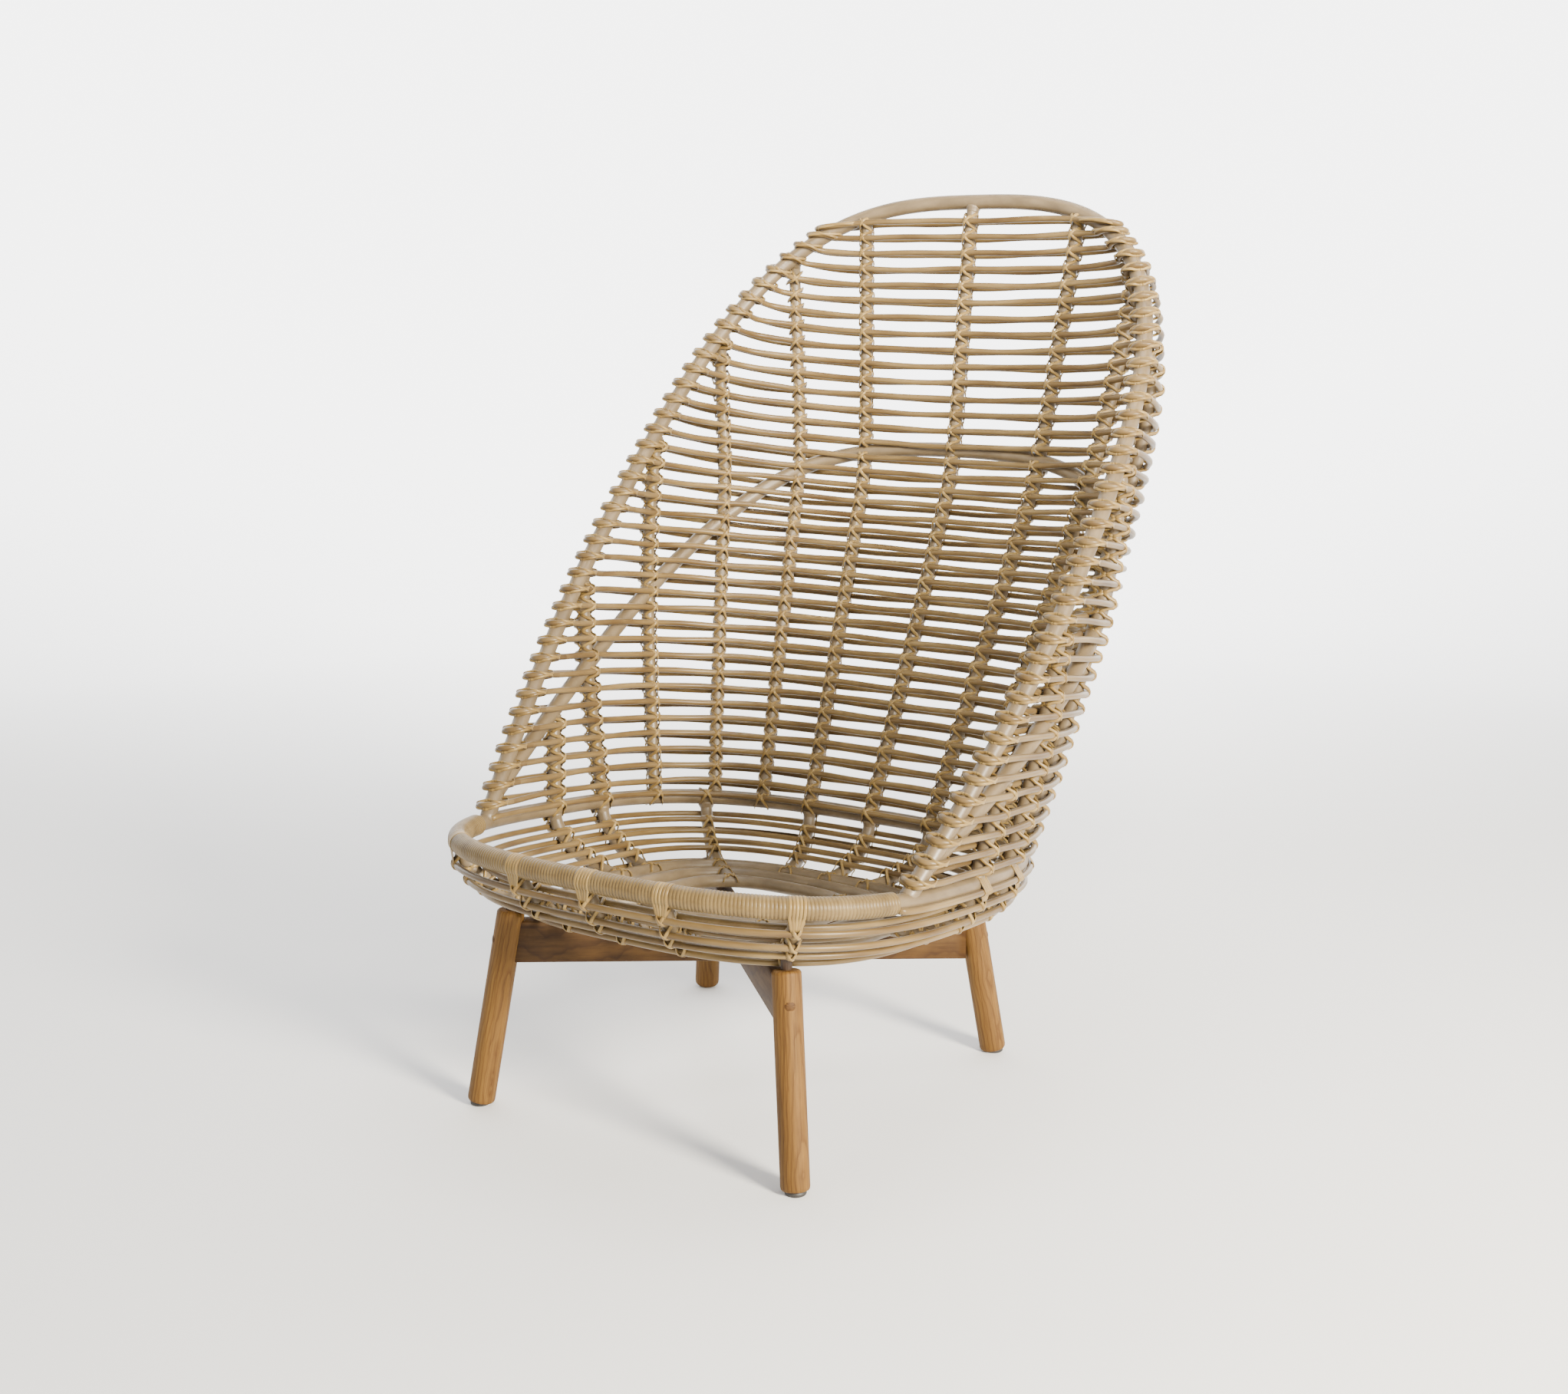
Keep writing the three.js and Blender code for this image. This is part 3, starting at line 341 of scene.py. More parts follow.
def level(share):
    """(points, lengths) of the right half of one level of the shell, from the back to the hoop."""
    key = round(float(share), 6)
    if key in levels:
        return levels[key]
    share = min(max(float(share), 0.0), 1.0)
    hoop, back = hoop_by_share(share), back_by_share(share)
    n = RING_SQUARENESS - SHELL_ROUNDING * math.sin(math.pi * share)
    setback = -HOOP_BASE_Y * share**SHELL_SETBACK_POWER
    widest = hoop[1] + setback
    half_width = hoop[0] / (1 - (setback / RING_HALF) ** n) ** (1 / n)
    angle = np.linspace(0, math.pi / 2, 160)
    x = half_width * np.sin(angle) ** (2 / n)
    y = widest + (back[1] - widest) * np.abs(np.cos(angle)) ** (2 / n)
    y[-1] = widest
    if setback > 1:
        d = np.linspace(0, setback, 40)[1:]
        x = np.append(x, half_width * (1 - (d / RING_HALF) ** n) ** (1 / n))
        y = np.append(y, widest - d)
    z = back[2] + (hoop[2] - back[2]) * (back[1] - y) / (back[1] - hoop[1])
    points = np.stack([x, y, z], axis=1)
    levels[key] = points, run_lengths(points)
    return levels[key]


def total(share):
    """A level's length from the middle of the back to the hoop."""
    return level(share)[1][-1]


def shell(share, distance):
    """The shell's point at a distance from the middle of the back, to the right if positive."""
    points, lengths = level(share)
    reach = min(abs(distance), lengths[-1])
    point = np.array([np.interp(reach, lengths, points[:, i]) for i in range(3)])
    return mirrored(point) if distance < 0 else point


def shell_normal(share, distance):
    """Outward direction of the shell."""
    end = total(share)
    reach = np.clip(distance, PROBE_MARGIN - end, end - PROBE_MARGIN)
    across = shell(share, reach + PROBE) - shell(share, reach - PROBE)
    low, high = min(share + PROBE_SHARE, 1.0), max(share - PROBE_SHARE, 0.0)
    down = shell(low, reach / end * total(low)) - shell(high, reach / end * total(high))
    normal = unit(np.cross(across, down))
    here = shell(share, reach)
    inside = np.array([0.0, hoop_by_share(share)[1], here[2]])
    return normal if normal @ (here - inside) > 0 else -normal


def course_share(k):
    return (k - 1) / COURSES


def rib_distance(j, share):
    return RIB_AT_RING[j] + RIB_FAN[j] * (1 - share)


arch_foot, arch_top = hoop_point(ARCH_FOOT_Z), back_point(ARCH_TOP_Z)


def above_arch(point):
    """Height over the dished surface that cuts the shell along the arch."""
    forward = (point[1] - arch_foot[1]) / (arch_top[1] - arch_foot[1])
    line = arch_foot[2] + (arch_top[2] - arch_foot[2]) * forward
    return point[2] - line + ARCH_DISH * math.sin(math.pi * min(max(forward, 0), 1))


def bisect(test, low, high):
    """Where a test changes its sign."""
    sign = test(low) > 0
    for _ in range(30):
        middle = (low + high) / 2
        if (test(middle) > 0) == sign:
            low = middle
        else:
            high = middle
    return (low + high) / 2


def hoop_axis():
    low = [hoop_point(z) for z in np.linspace(HOOP_BASE_Z, HOOP_WIDEST_Z, 80)[:-1]]
    turn = np.linspace(0, math.pi / 2, 160)
    widths = HOOP_HALF_WIDTH * np.abs(np.cos(turn)) ** (2 / HOOP_SQUARENESS)
    widths[-1] = 0
    right = np.array(low + [hoop_point(hoop_height_at(x)) for x in widths])
    return np.vstack([right, mirrored(right)[::-1][1:]])


HOOP_LINE = resample(hoop_axis(), FRAME_STEP)


def arch_axis():
    right = []
    for reach in np.linspace(0, 1, 50):
        share = bisect(lambda s: above_arch(shell(s, reach * total(s))), 0.0, 1.0)
        right.append(shell(share, reach * total(share)))
    right = np.array(right)
    return smoothed(np.vstack([mirrored(right)[::-1][:-1], right]), 3)


def rib_limits(j):
    """Shares at which a rib leaves the shell at the top and crosses the arch."""
    def room(share):
        return total(share) - rib_distance(j, share)

    top = 0.0 if room(0.0) > 0 else bisect(room, 0.0, 1.0)
    arch = bisect(lambda s: above_arch(shell(s, rib_distance(j, s))), top, 1.0)
    return top, arch


def rib_axis(j):
    """From the seat ring up to the hoop, or to the arch for the last rib."""
    top, arch = rib_limits(j)
    shares = np.linspace(1.0, arch if j == LAST_RIB else top, 60)
    points = [shell(s, rib_distance(j, s)) for s in shares]
    if top == 0.0 and j < LAST_RIB:
        points.append(hoop_point(hoop_height_at(points[-1][0])))
    return resample(smoothed(np.array(points), 1), RIB_STEP)


# Mesh building


class Skin:
    """Vertices, quads and texture coordinates of one piece, gathered in millimetres."""

    START_RANGE = 40
    CLOSING_LENGTH = 8
    CAP_U, CAP_U_STEP = 0.3, 0.02

    def __init__(self):
        self.points, self.faces, self.uvs = [], [], []
        self.count = 0

    def rings(self, rings, closed=False, lengths=None):
        """Joins rings of equally many points into a skin, with ends if it isn't closed."""
        rows, sides = rings.shape[:2]
        base = self.count
        self.points.append(rings.reshape(-1, 3))
        self.count += rows * sides
        if lengths is None:
            lengths = run_lengths(rings.mean(axis=1))
        start = float(rng.uniform(0, self.START_RANGE))
        along = np.append(lengths, lengths[-1] + self.CLOSING_LENGTH) / MM + start
        for i in range(rows if closed else rows - 1):
            here, there = base + i * sides, base + (i + 1) % rows * sides
            v0, v1 = along[i], along[i + 1]
            for k in range(sides):
                side = (k + 1) % sides
                self.faces.append((here + k, here + side, there + side, there + k))
                u0, u1 = k / sides, (k + 1) / sides
                self.uvs += [(u0, v0), (u1, v0), (u1, v1), (u0, v1)]
        if not closed:
            for face in (range(sides - 1, -1, -1), range((rows - 1) * sides, rows * sides)):
                self.faces.append(tuple(base + k for k in face))
                self.uvs += [(self.CAP_U + self.CAP_U_STEP * (k % sides), start) for k in face]

    def tube(self, points, radius, sides, closed=False):
        """A round tube along a line, with one radius or one for each point."""
        tangents, normals = frames(points, closed)
        radius = np.broadcast_to(radius, len(points))[:, None, None]
        circles = unit_circles(normals, np.cross(tangents, normals), sides)
        self.rings(points[:, None] + radius * circles, closed)

    def strip(self, points, normals, width=BIND_WIDTH, thickness=BIND_THICKNESS):
        """A flat band with a crowned outer face along a line, facing along normals."""
        tangents = unit(np.gradient(points, axis=0))
        sideways = unit(np.cross(tangents, unit(normals)))
        upward = np.cross(sideways, tangents)
        rings = [
            points + sideways * (a * width) + upward * (b * thickness) for a, b in BIND_PROFILE
        ]
        self.rings(np.stack(rings, axis=1))


def side_angles(sides):
    return np.arange(sides) / sides * TURN


def unit_circles(firsts, seconds, sides):
    """One circle of points for each pair of directions across a line."""
    angle = side_angles(sides)[None, :, None]
    return np.cos(angle) * firsts[:, None] + np.sin(angle) * seconds[:, None]


def fan(turn, out, up):
    """Directions turned from out towards up."""
    return np.outer(np.sin(turn), up) + np.outer(np.cos(turn), out)


def frames(points, closed=False):
    """Directions along a line, and side directions carried along it without twist."""
    if closed:
        tangents = unit(np.roll(points, -1, axis=0) - np.roll(points, 1, axis=0))
    else:
        tangents = unit(np.gradient(points, axis=0))
    side = UP if abs(tangents[0][2]) < 0.8 else np.array([1.0, 0.0, 0.0])
    normals = []
    for tangent in tangents:
        side = unit(side - tangent * (side @ tangent))
        normals.append(side)
    normals = np.array(normals)
    if closed:
        last = unit(normals[-1] - tangents[0] * (normals[-1] @ tangents[0]))
        turn = math.atan2(np.cross(last, normals[0]) @ tangents[0], last @ normals[0])
        spread = np.linspace(0, turn, len(points), endpoint=False)[:, None]
        normals = normals * np.cos(spread) + np.cross(tangents, normals) * np.sin(spread)
    return tangents, normals


def make(name, skin, material, nodes=()):
    """The gathered skin as a Blender object in the row frame, in metres."""
    points = np.vstack(skin.points) + np.array([0.0, SHIFT_Y, 0.0])
    mesh = bpy.data.meshes.new(name)
    mesh.from_pydata((points / MM).tolist(), [], skin.faces)
    layer = mesh.uv_layers.new(name="along")
    layer.data.foreach_set("uv", np.array(skin.uvs, float).ravel())
    mesh.polygons.foreach_set("use_smooth", [True] * len(mesh.polygons))
    mesh.materials.append(material)
    mesh.validate()
    piece = bpy.data.objects.new(name, mesh)
    bpy.context.scene.collection.objects.link(piece)
    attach(piece, "root")
    if nodes:
        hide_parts(*nodes)
    return piece


# Materials


def fill(node, **values):
    """Sets a node's inputs, with underscores for the spaces in their names."""
    for key, value in values.items():
        node.inputs[key.replace("_", " ")].default_value = value


class Nodes:
    """A material's node tree with short helpers."""

    def __init__(self, name):
        self.material = bpy.data.materials.new(name)
        self.material.use_nodes = True
        self.tree = self.material.node_tree
        self.shader = self.tree.nodes["Principled BSDF"]

    def add(self, kind, **values):
        node = self.tree.nodes.new("ShaderNode" + kind)
        for key, value in values.items():
            setattr(node, key, value)
        return node

    def link(self, source, target):
        self.tree.links.new(source, target)

    def stretched(self, round_scale, along_scale):
        """The piece's own coordinates, round it and along it, scaled."""
        place = self.add("UVMap", uv_map="along")
        mapping = self.add("Mapping")
        fill(mapping, Scale=(round_scale, along_scale, 1.0))
        self.link(place.outputs["UV"], mapping.inputs["Vector"])
        return mapping.outputs["Vector"]

    def noise(self, vector, scale, detail=3.0, roughness=0.55):
        node = self.add("TexNoise")
        fill(node, Scale=scale, Detail=detail, Roughness=roughness)
        self.link(vector, node.inputs["Vector"])
        return node.outputs["Fac"]

    def ramp(self, factor, *stops):
        node = self.add("ValToRGB")
        elements = node.color_ramp.elements
        while len(elements) < len(stops):
            elements.new(0.5)
        for element, (place, color) in zip(elements, stops):
            element.position = place
            element.color = (*color, 1.0)
        self.link(factor, node.inputs["Fac"])
        return node.outputs["Color"]

    def multiply(self, factor, first, second):
        node = self.add("Mix", data_type="RGBA", blend_type="MULTIPLY")
        fill(node, Factor=factor)
        self.link(first, node.inputs["A"])
        self.link(second, node.inputs["B"])
        return node.outputs["Result"]

    def smooth(self, value, start, end, high):
        """Nothing up to start, rising softly to high at end."""
        node = self.add("MapRange", interpolation_type="SMOOTHSTEP")
        fill(node, From_Min=start, From_Max=end, To_Min=0.0, To_Max=high)
        self.link(value, node.inputs["Value"])
        return node.outputs["Result"]

    def math(self, operation, first, second=0.0):
        node = self.add("Math", operation=operation)
        for socket, value in zip(node.inputs, (first, second)):
            if isinstance(value, float):
                socket.default_value = value
            else:
                self.link(value, socket)
        return node.outputs["Value"]

    def growth_rings(self, radius, pith, slant, fold, spacing, wobble):
        """Rings about a slanted line outside the piece, which cut its surface in long arches."""
        place = self.add("UVMap", uv_map="along")
        split = self.add("SeparateXYZ")
        self.link(place.outputs["UV"], split.inputs["Vector"])
        do = self.math
        angle = do("MULTIPLY", split.outputs["X"], TURN)
        shift = do("MULTIPLY", do("PINGPONG", split.outputs["Y"], fold), slant)
        across = do("MULTIPLY", do("COSINE", angle), radius)
        across = do("ADD", do("ADD", across, shift), pith)
        deep = do("MULTIPLY", do("SINE", angle), radius)
        far = do("SQRT", do("ADD", do("POWER", across, 2.0), do("POWER", deep, 2.0)))
        far = do("ADD", far, do("MULTIPLY", wobble, spacing))
        return do("FRACT", do("DIVIDE", far, spacing))

    def paint(self, color):
        self.link(color, self.shader.inputs["Base Color"])

    def roughen(self, value, low, high):
        node = self.add("MapRange")
        fill(node, To_Min=low, To_Max=high)
        self.link(value, node.inputs["Value"])
        self.link(node.outputs["Result"], self.shader.inputs["Roughness"])

    def bump(self, height, strength, distance):
        node = self.add("Bump")
        fill(node, Strength=strength, Distance=distance)
        self.link(height, node.inputs["Height"])
        self.link(node.outputs["Normal"], self.shader.inputs["Normal"])


WHITE = (1.0, 1.0, 1.0)


def cane_material(name, dark, middle, light, roughness, painted_groove_shade=False):
    """Synthetic cane: fine streaks along its length and slow changes of tone, and for wound cane
    painted shade in the grooves between turns.
    """
    n = Nodes(name)
    slow = n.noise(n.stretched(0.6, 5.0), 1.6, 3.0)
    streaks = n.noise(n.stretched(7.0, 5.0), 2.2, 5.0, 0.65)
    tone = n.ramp(slow, (0.3, dark), (0.5, middle), (0.72, light))
    lines = n.ramp(streaks, (0.3, (0.74, 0.7, 0.64)), (0.52, WHITE), (0.8, (1.1, 1.08, 1.04)))
    color = n.multiply(0.7, tone, lines)
    if painted_groove_shade:
        # Painted shade: the crown height darkens the grooves between wound turns and, a little,
        # their flanks.
        crown = n.add("Attribute", attribute_name="crown").outputs["Fac"]
        groove_shade_color, flank_shade_color = (0.34, 0.26, 0.18), (0.92, 0.9, 0.88)
        shade = n.ramp(crown, (0.0, groove_shade_color), (0.7, flank_shade_color), (1.0, WHITE))
        color = n.multiply(1.0, color, shade)
    n.paint(color)
    n.roughen(streaks, roughness + 0.1, roughness - 0.08)
    n.bump(streaks, 0.16, 0.0005)
    fill(n.shader, Specular_IOR_Level=0.3, Sheen_Weight=0.05)
    return n.material


def tube_material():
    """Coated frame tube: greyer beige with soft clouds and a slight orange-peel."""
    n = Nodes("frame_tube_coat")
    clouds = n.noise(n.stretched(1.2, 9.0), 2.4, 4.0)
    fine = n.noise(n.stretched(12.0, 160.0), 3.0, 2.0)
    dark, middle, light = (0.11, 0.077, 0.039), (0.153, 0.109, 0.0575), (0.2, 0.146, 0.081)
    n.paint(n.ramp(clouds, (0.3, dark), (0.52, middle), (0.75, light)))
    n.roughen(clouds, 0.5, 0.36)
    n.bump(fine, 0.12, 0.0004)
    fill(n.shader, Coat_Weight=0.08, Coat_Roughness=0.35)
    return n.material


def wood_material(name, dark, middle, light):
    """Oiled hardwood: arched growth rings, long grain, pores and slow bands of colour."""
    n = Nodes(name)
    bands = n.noise(n.stretched(3.2, 1.4), 2.0, 6.0, 0.6)
    grain = n.noise(n.stretched(26.0, 3.0), 2.6, 8.0, 0.68)
    pores = n.noise(n.stretched(60.0, 9.0), 4.0, 2.0)
    tone = n.ramp(bands, (0.28, dark), (0.5, middle), (0.74, light))
    lines = n.ramp(grain, (0.3, (0.48, 0.4, 0.32)), (0.52, WHITE), (0.78, (1.25, 1.2, 1.1)))
    spots = n.ramp(pores, (0.3, (0.55, 0.48, 0.42)), (0.4, WHITE))
    wobble = n.math("MULTIPLY", n.noise(n.stretched(2.0, 9.0), 1.5, 3.0), 2.6)
    rings = n.growth_rings(
        radius=0.018, pith=0.031, slant=0.06, fold=0.6, spacing=0.0052, wobble=wobble
    )
    edge, early, late = (0.6, 0.5, 0.4), (1.08, 1.06, 1.02), (0.98, 0.96, 0.92)
    soft = (0.8, 0.74, 0.66)
    arches = n.ramp(rings, (0.0, edge), (0.14, soft), (0.5, early), (0.9, late), (1.0, edge))
    color = n.multiply(0.55, n.multiply(0.9, tone, lines), spots)
    n.paint(n.multiply(0.85, color, arches))
    n.roughen(grain, 0.7, 0.54)
    n.bump(grain, 0.3, 0.0006)
    fill(n.shader, Specular_IOR_Level=0.25)
    return n.material


def dark_material():
    n = Nodes("dark_moulding")
    speckle = n.noise(n.stretched(20.0, 300.0), 3.0, 3.0)
    n.paint(n.ramp(speckle, (0.3, (0.012, 0.011, 0.01)), (0.7, (0.035, 0.03, 0.027))))
    n.roughen(speckle, 0.6, 0.45)
    n.bump(speckle, 0.2, 0.0003)
    return n.material


def spacer_material():
    """Very dark brown for the spacers, painted shade so they read as the shadowed gap under the
    skirt; in the piece's own coordinates since it has no others.
    """
    n = Nodes("spacer_dark_shade")
    place = n.add("TexCoord")
    clouds = n.noise(place.outputs["Object"], 160.0, 4.0)
    n.paint(n.ramp(clouds, (0.3, (0.02, 0.009, 0.003)), (0.7, (0.05, 0.023, 0.007))))
    n.roughen(clouds, 0.7, 0.5)
    n.bump(clouds, 0.2, 0.0003)
    return n.material


CANE = cane_material(
    "round_cane", (0.074, 0.041, 0.0128), (0.139, 0.088, 0.0305), (0.207, 0.14, 0.0545), 0.34
)
FLAT_CANE = cane_material(
    "flat_cane", (0.145, 0.088, 0.0235), (0.22, 0.141, 0.0425), (0.295, 0.2, 0.068), 0.34
)
# Wound flat cane, with painted shade in the grooves between its turns.
WRAP_CANE = cane_material(
    "wound_flat_cane", (0.119, 0.077, 0.0255), (0.155, 0.103, 0.0355), (0.192, 0.131, 0.049), 0.42,
    painted_groove_shade=True,
)
TUBE = tube_material()
LEG_WOOD = wood_material(
    "leg_hardwood", (0.084, 0.0395, 0.0063), (0.132, 0.065, 0.0118), (0.179, 0.094, 0.0185)
)
# The rails' wood is the leg wood painted darker: painted shade for the shadow the bowl casts on
# them.
RAIL_WOOD_SHADED = wood_material(
    "rail_hardwood_shaded", (0.036, 0.0155, 0.0026), (0.056, 0.0255, 0.0046), (0.078, 0.038, 0.0078)
)
PLUG_WOOD = wood_material(
    "plug_hardwood", (0.045, 0.019, 0.003), (0.075, 0.033, 0.006), (0.105, 0.05, 0.01)
)
DARK = dark_material()
SPACER = spacer_material()


# Frame pieces


def weld(skin, base, direction):
    """A flared collar where a rib or spoke meets a frame tube."""
    points = base + unit(direction) * (WELD_START + WELD_MARKS[:, None])
    skin.tube(points, WELD_FLARE, RIB_SIDES)


def frame_tube(name, line, closed=False):
    skin = Skin()
    skin.tube(line, FRAME_RADIUS, FRAME_SIDES, closed)
    make(name, skin, TUBE, [f"{name}_tube"])


def frame_pieces():
    ring = np.array([ring_point(a) for a in full_turn(720)])
    frame_tube("hoop", HOOP_LINE)
    frame_tube("seat_ring", resample(ring, FRAME_STEP, closed=True), closed=True)
    frame_tube("back_arch", resample(arch_axis(), FRAME_STEP))
    for j in range(LAST_RIB + 1):
        line = rib_axis(j)
        for tail in ["middle"] if j == 0 else [f"right_{j}", f"left_{j}"]:
            points = mirrored(line) if tail.startswith("left") else line
            skin = Skin()
            skin.tube(points, RIB_RADIUS, RIB_SIDES)
            weld(skin, points[0], points[2] - points[0])
            weld(skin, points[-1], points[-3] - points[-1])
            nodes = [f"rib_lower_{tail}"] + ([f"rib_upper_{tail}"] if j < LAST_RIB else [])
            make(f"rib_{tail}", skin, TUBE, nodes)


# Weave of the back


def smooth_step(value, low, high):
    share = np.clip((value - low) / (high - low), 0, 1)
    return share * share * (3 - 2 * share)


def clear_of_hoop(point):
    """The point, moved out if a cane there would cut the hoop."""
    gaps = np.linalg.norm(HOOP_LINE - point, axis=1)
    nearest = HOOP_LINE[int(np.argmin(gaps))]
    gap = gaps.min()
    if gap >= OVER_FRAME or gap < TINY:
        return point
    return nearest + (point - nearest) * (OVER_FRAME / gap)


def shell_offset(share, distance):
    """How far a cane's middle lies from the shell: close over ribs, further over frame tubes."""
    near_arch = 1 - smooth_step(abs(above_arch(shell(share, distance))), *NEAR_ARCH)
    near_hoop = 1 - smooth_step(total(share) - abs(distance), *NEAR_HOOP)
    return OVER_RIB + (OVER_FRAME - OVER_RIB) * max(near_arch, near_hoop)


def cane_pass(share, layer, drift):
    """One pass along a level, left to right, inside (-1) or outside (+1) the ribs."""
    end = total(share) - TURN_ROOM
    points = []
    for distance in np.linspace(-end, end, int(end / CANE_STEP)):
        wave = sum(high * math.sin(distance / long + pace * drift) for high, long, pace in WAVES)
        outward = shell_normal(share, distance) * layer * shell_offset(share, distance)
        point = shell(share, distance) + outward
        points.append(clear_of_hoop(point + UP * wave))
    return smoothed(np.array(points), 2)


def hoop_basis(share):
    """A turn's middle on the hoop, with the hoop's, shell's and cane's directions and the slant."""
    hoop = hoop_by_share(share)
    along = unit(hoop_by_share(max(share - 0.01, 0)) - hoop_by_share(min(share + 0.01, 1)))
    end = total(share)
    normal = shell_normal(share, end - TURN_ROOM)
    outward = unit(normal - along * (normal @ along))
    run = shell(share, end) - shell(share, end - 2 * TURN_ROOM)
    run = unit(run - outward * (run @ outward))
    return hoop, along, outward, run, max(np.linalg.norm(np.cross(run, along)), LEAST_SLANT)


def hoop_turn(share):
    """A slanting half turn round the right side of the hoop, from inside to outside."""
    hoop, _, outward, run, slant = hoop_basis(share)
    turn = np.linspace(0, TURN / 2, 13)[:, None]
    return hoop + OVER_FRAME * (-np.cos(turn) * outward + np.sin(turn) * run / slant)


def back_course(k):
    """One closed course of the back: inside pass, hoop, outside pass, hoop."""
    share = course_share(k)
    drift = float(rng.uniform(0, DRIFT_RANGE))
    inside = cane_pass(share, -1, drift)
    outside = cane_pass(share, 1, drift + OUTSIDE_DRIFT)
    turn = hoop_turn(share)
    line = np.vstack([inside, turn, outside[::-1], mirrored(turn)[::-1]])
    return smoothed(resample(line, CANE_STEP, True), 1, True)


def back_canes():
    for i in range(STRANDS):
        first, last = round(i * COURSES / STRANDS) + 1, round((i + 1) * COURSES / STRANDS)
        skin = Skin()
        for k in range(first, last + 1):
            skin.tube(back_course(k), CANE_RADIUS, CANE_SIDES, closed=True)
        make(f"back_cane_{i + 1}", skin, CANE, [f"back_weave_{i + 1}"])


def cross_tie(skin, centre, normal, along, up, over, tube=RIB_RADIUS, rise=TIE_RISE):
    """Two flat bands that cross over a cane and run round the sides of the tube behind it."""
    away = np.abs(TIE_MARKS)
    sideways = np.sign(TIE_MARKS) * np.interp(away, *TIE_SPREAD) * tube
    depths = [over, over - 0.5, over - 2.6, 0.95 * tube, 0.6 * tube, 0]
    depth = np.interp(away, TIE_DEPTH_MARKS, depths)
    for lean, raised in TIE_LIFTS:
        lift = depth + raised * (1 - away)
        line = centre + np.outer(sideways * lean, along) + np.outer(TIE_MARKS * rise, up)
        line = line + np.outer(lift, normal)
        skin.strip(line, np.outer(depth + 0.5, normal) + np.outer(sideways * lean, along))


def back_ties():
    """A crossed tie inside and outside wherever a course crosses a rib."""
    skin = Skin()
    for j in range(LAST_RIB + 1):
        top, arch = rib_limits(j)
        limit = arch if j == LAST_RIB else top
        limit += TIE_TOP_ROOM if limit > 0 else 0.0
        for k in range(1, COURSES + 1):
            share = course_share(k)
            distance = rib_distance(j, share)
            if share < limit or distance > total(share) - TIE_HOOP_ROOM:
                continue
            for side in (1,) if j == 0 else (1, -1):
                reach = distance * side
                centre = shell(share, reach)
                normal = shell_normal(share, reach)
                along = unit(shell(share, reach + PROBE) - shell(share, reach - PROBE))
                up = np.cross(along, normal)
                up = up if up[2] > 0 else -up
                over = shell_offset(share, reach) + CANE_RADIUS - TIE_SINK
                jitter = rng.uniform(-TIE_JITTER, TIE_JITTER, 3)
                for layer in (-1, 1):
                    cross_tie(skin, centre + jitter, normal * layer, along, up, over)
    make("back_ties", skin, FLAT_CANE)


def hoop_ties():
    """At each turn on the hoop two bands cross over the cane, inside and outside."""
    skin = Skin()
    turn = np.radians(np.linspace(-80, 90, 18))
    for k in range(1, COURSES + 1):
        hoop, along, outward, run, slant = hoop_basis(course_share(k))
        for face in (-1, 1):
            facing = fan(turn, outward * face, run / slant)
            for lean in (1, -1):
                ease = 1 - HOOP_TIE_EASE + HOOP_TIE_EASE * np.abs(np.sin(turn))
                aside = HOOP_TIE_REACH * lean * np.sin(turn) * ease
                clear = np.clip((CANE_RADIUS + HOOP_TIE_CLEAR) ** 2 - aside**2, 0, None)
                over = np.where(clear > 0, OVER_FRAME + np.sqrt(clear) - HOOP_TIE_SINK, 0)
                radius = np.maximum(over, FRAME_RADIUS + TIE_GAP) + TIE_GAP * lean * np.cos(turn)
                radius = np.convolve(np.pad(radius, 1, mode="edge"), [0.25, 0.5, 0.25], "valid")
                line = hoop + np.outer(aside, along) + radius[:, None] * facing
                skin.strip(line, facing, *HOOP_TIE_SIZE)
                skin.strip(mirrored(line)[::-1], mirrored(facing)[::-1], *HOOP_TIE_SIZE)
    make("hoop_ties", skin, FLAT_CANE)


# Bowl


def bowl_point(angle, share):
    """A flat floor that curves up to the seat ring."""
    rim = ring_point(angle)
    q = min(max((share - BOWL_FLOOR_SHARE) / (1 - BOWL_FLOOR_SHARE), 0), 1)
    depth = rim[2] - BOWL_FLOOR_Z - seat_fall(rim[1])
    y = rim[1] * share
    z = BOWL_FLOOR_Z + seat_fall(y) + depth * (1 - math.sqrt(1 - q * q))
    return np.array([rim[0] * share, y, z])


def bowl_across(angle, share):
    return bowl_point(angle + ANGLE_PROBE, share) - bowl_point(angle - ANGLE_PROBE, share)


def bowl_normal(angle, share):
    """Direction out of the bowl, down and away from the sitter."""
    outer, inner = min(share + BOWL_PROBE, 1), share - BOWL_PROBE
    along = bowl_point(angle, outer) - bowl_point(angle, inner)
    normal = unit(np.cross(bowl_across(angle, share), along))
    return -normal if normal[2] > 0 else normal


def angle_towards(x, y):
    """The angle at which the seat ring, or a ring of the bowl, passes in line with a point."""
    power = RING_SQUARENESS / 2
    turn = math.atan2(abs(x / RING_HALF) ** power, abs(y / RING_HALF) ** power)
    right = turn if y >= 0 else math.pi - turn
    return TURN - right if x < 0 else right


CORNER_ANGLE = angle_towards(*LEG_TOP)


def rib_foot_angle(j):
    return angle_towards(*shell(1.0, RIB_AT_RING[j])[:2])


def wound_end():
    """The angle at which the winding ends on the right."""
    return angle_towards(shell(1.0, total(1.0))[0], WRAP_END_Y)


def spoke_angles():
    half = [rib_foot_angle(j) for j in SPOKE_RIBS] + [CORNER_ANGLE, math.pi - CORNER_ANGLE]
    half += [angle_towards(x, -RING_HALF) for x in (0, FRONT_SPOKE_X)]
    return sorted(half + [TURN - a for a in half if abs(math.sin(a)) > TINY])


def over_leg(angle):
    return abs(abs(math.cos(angle)) - math.cos(CORNER_ANGLE)) < TINY


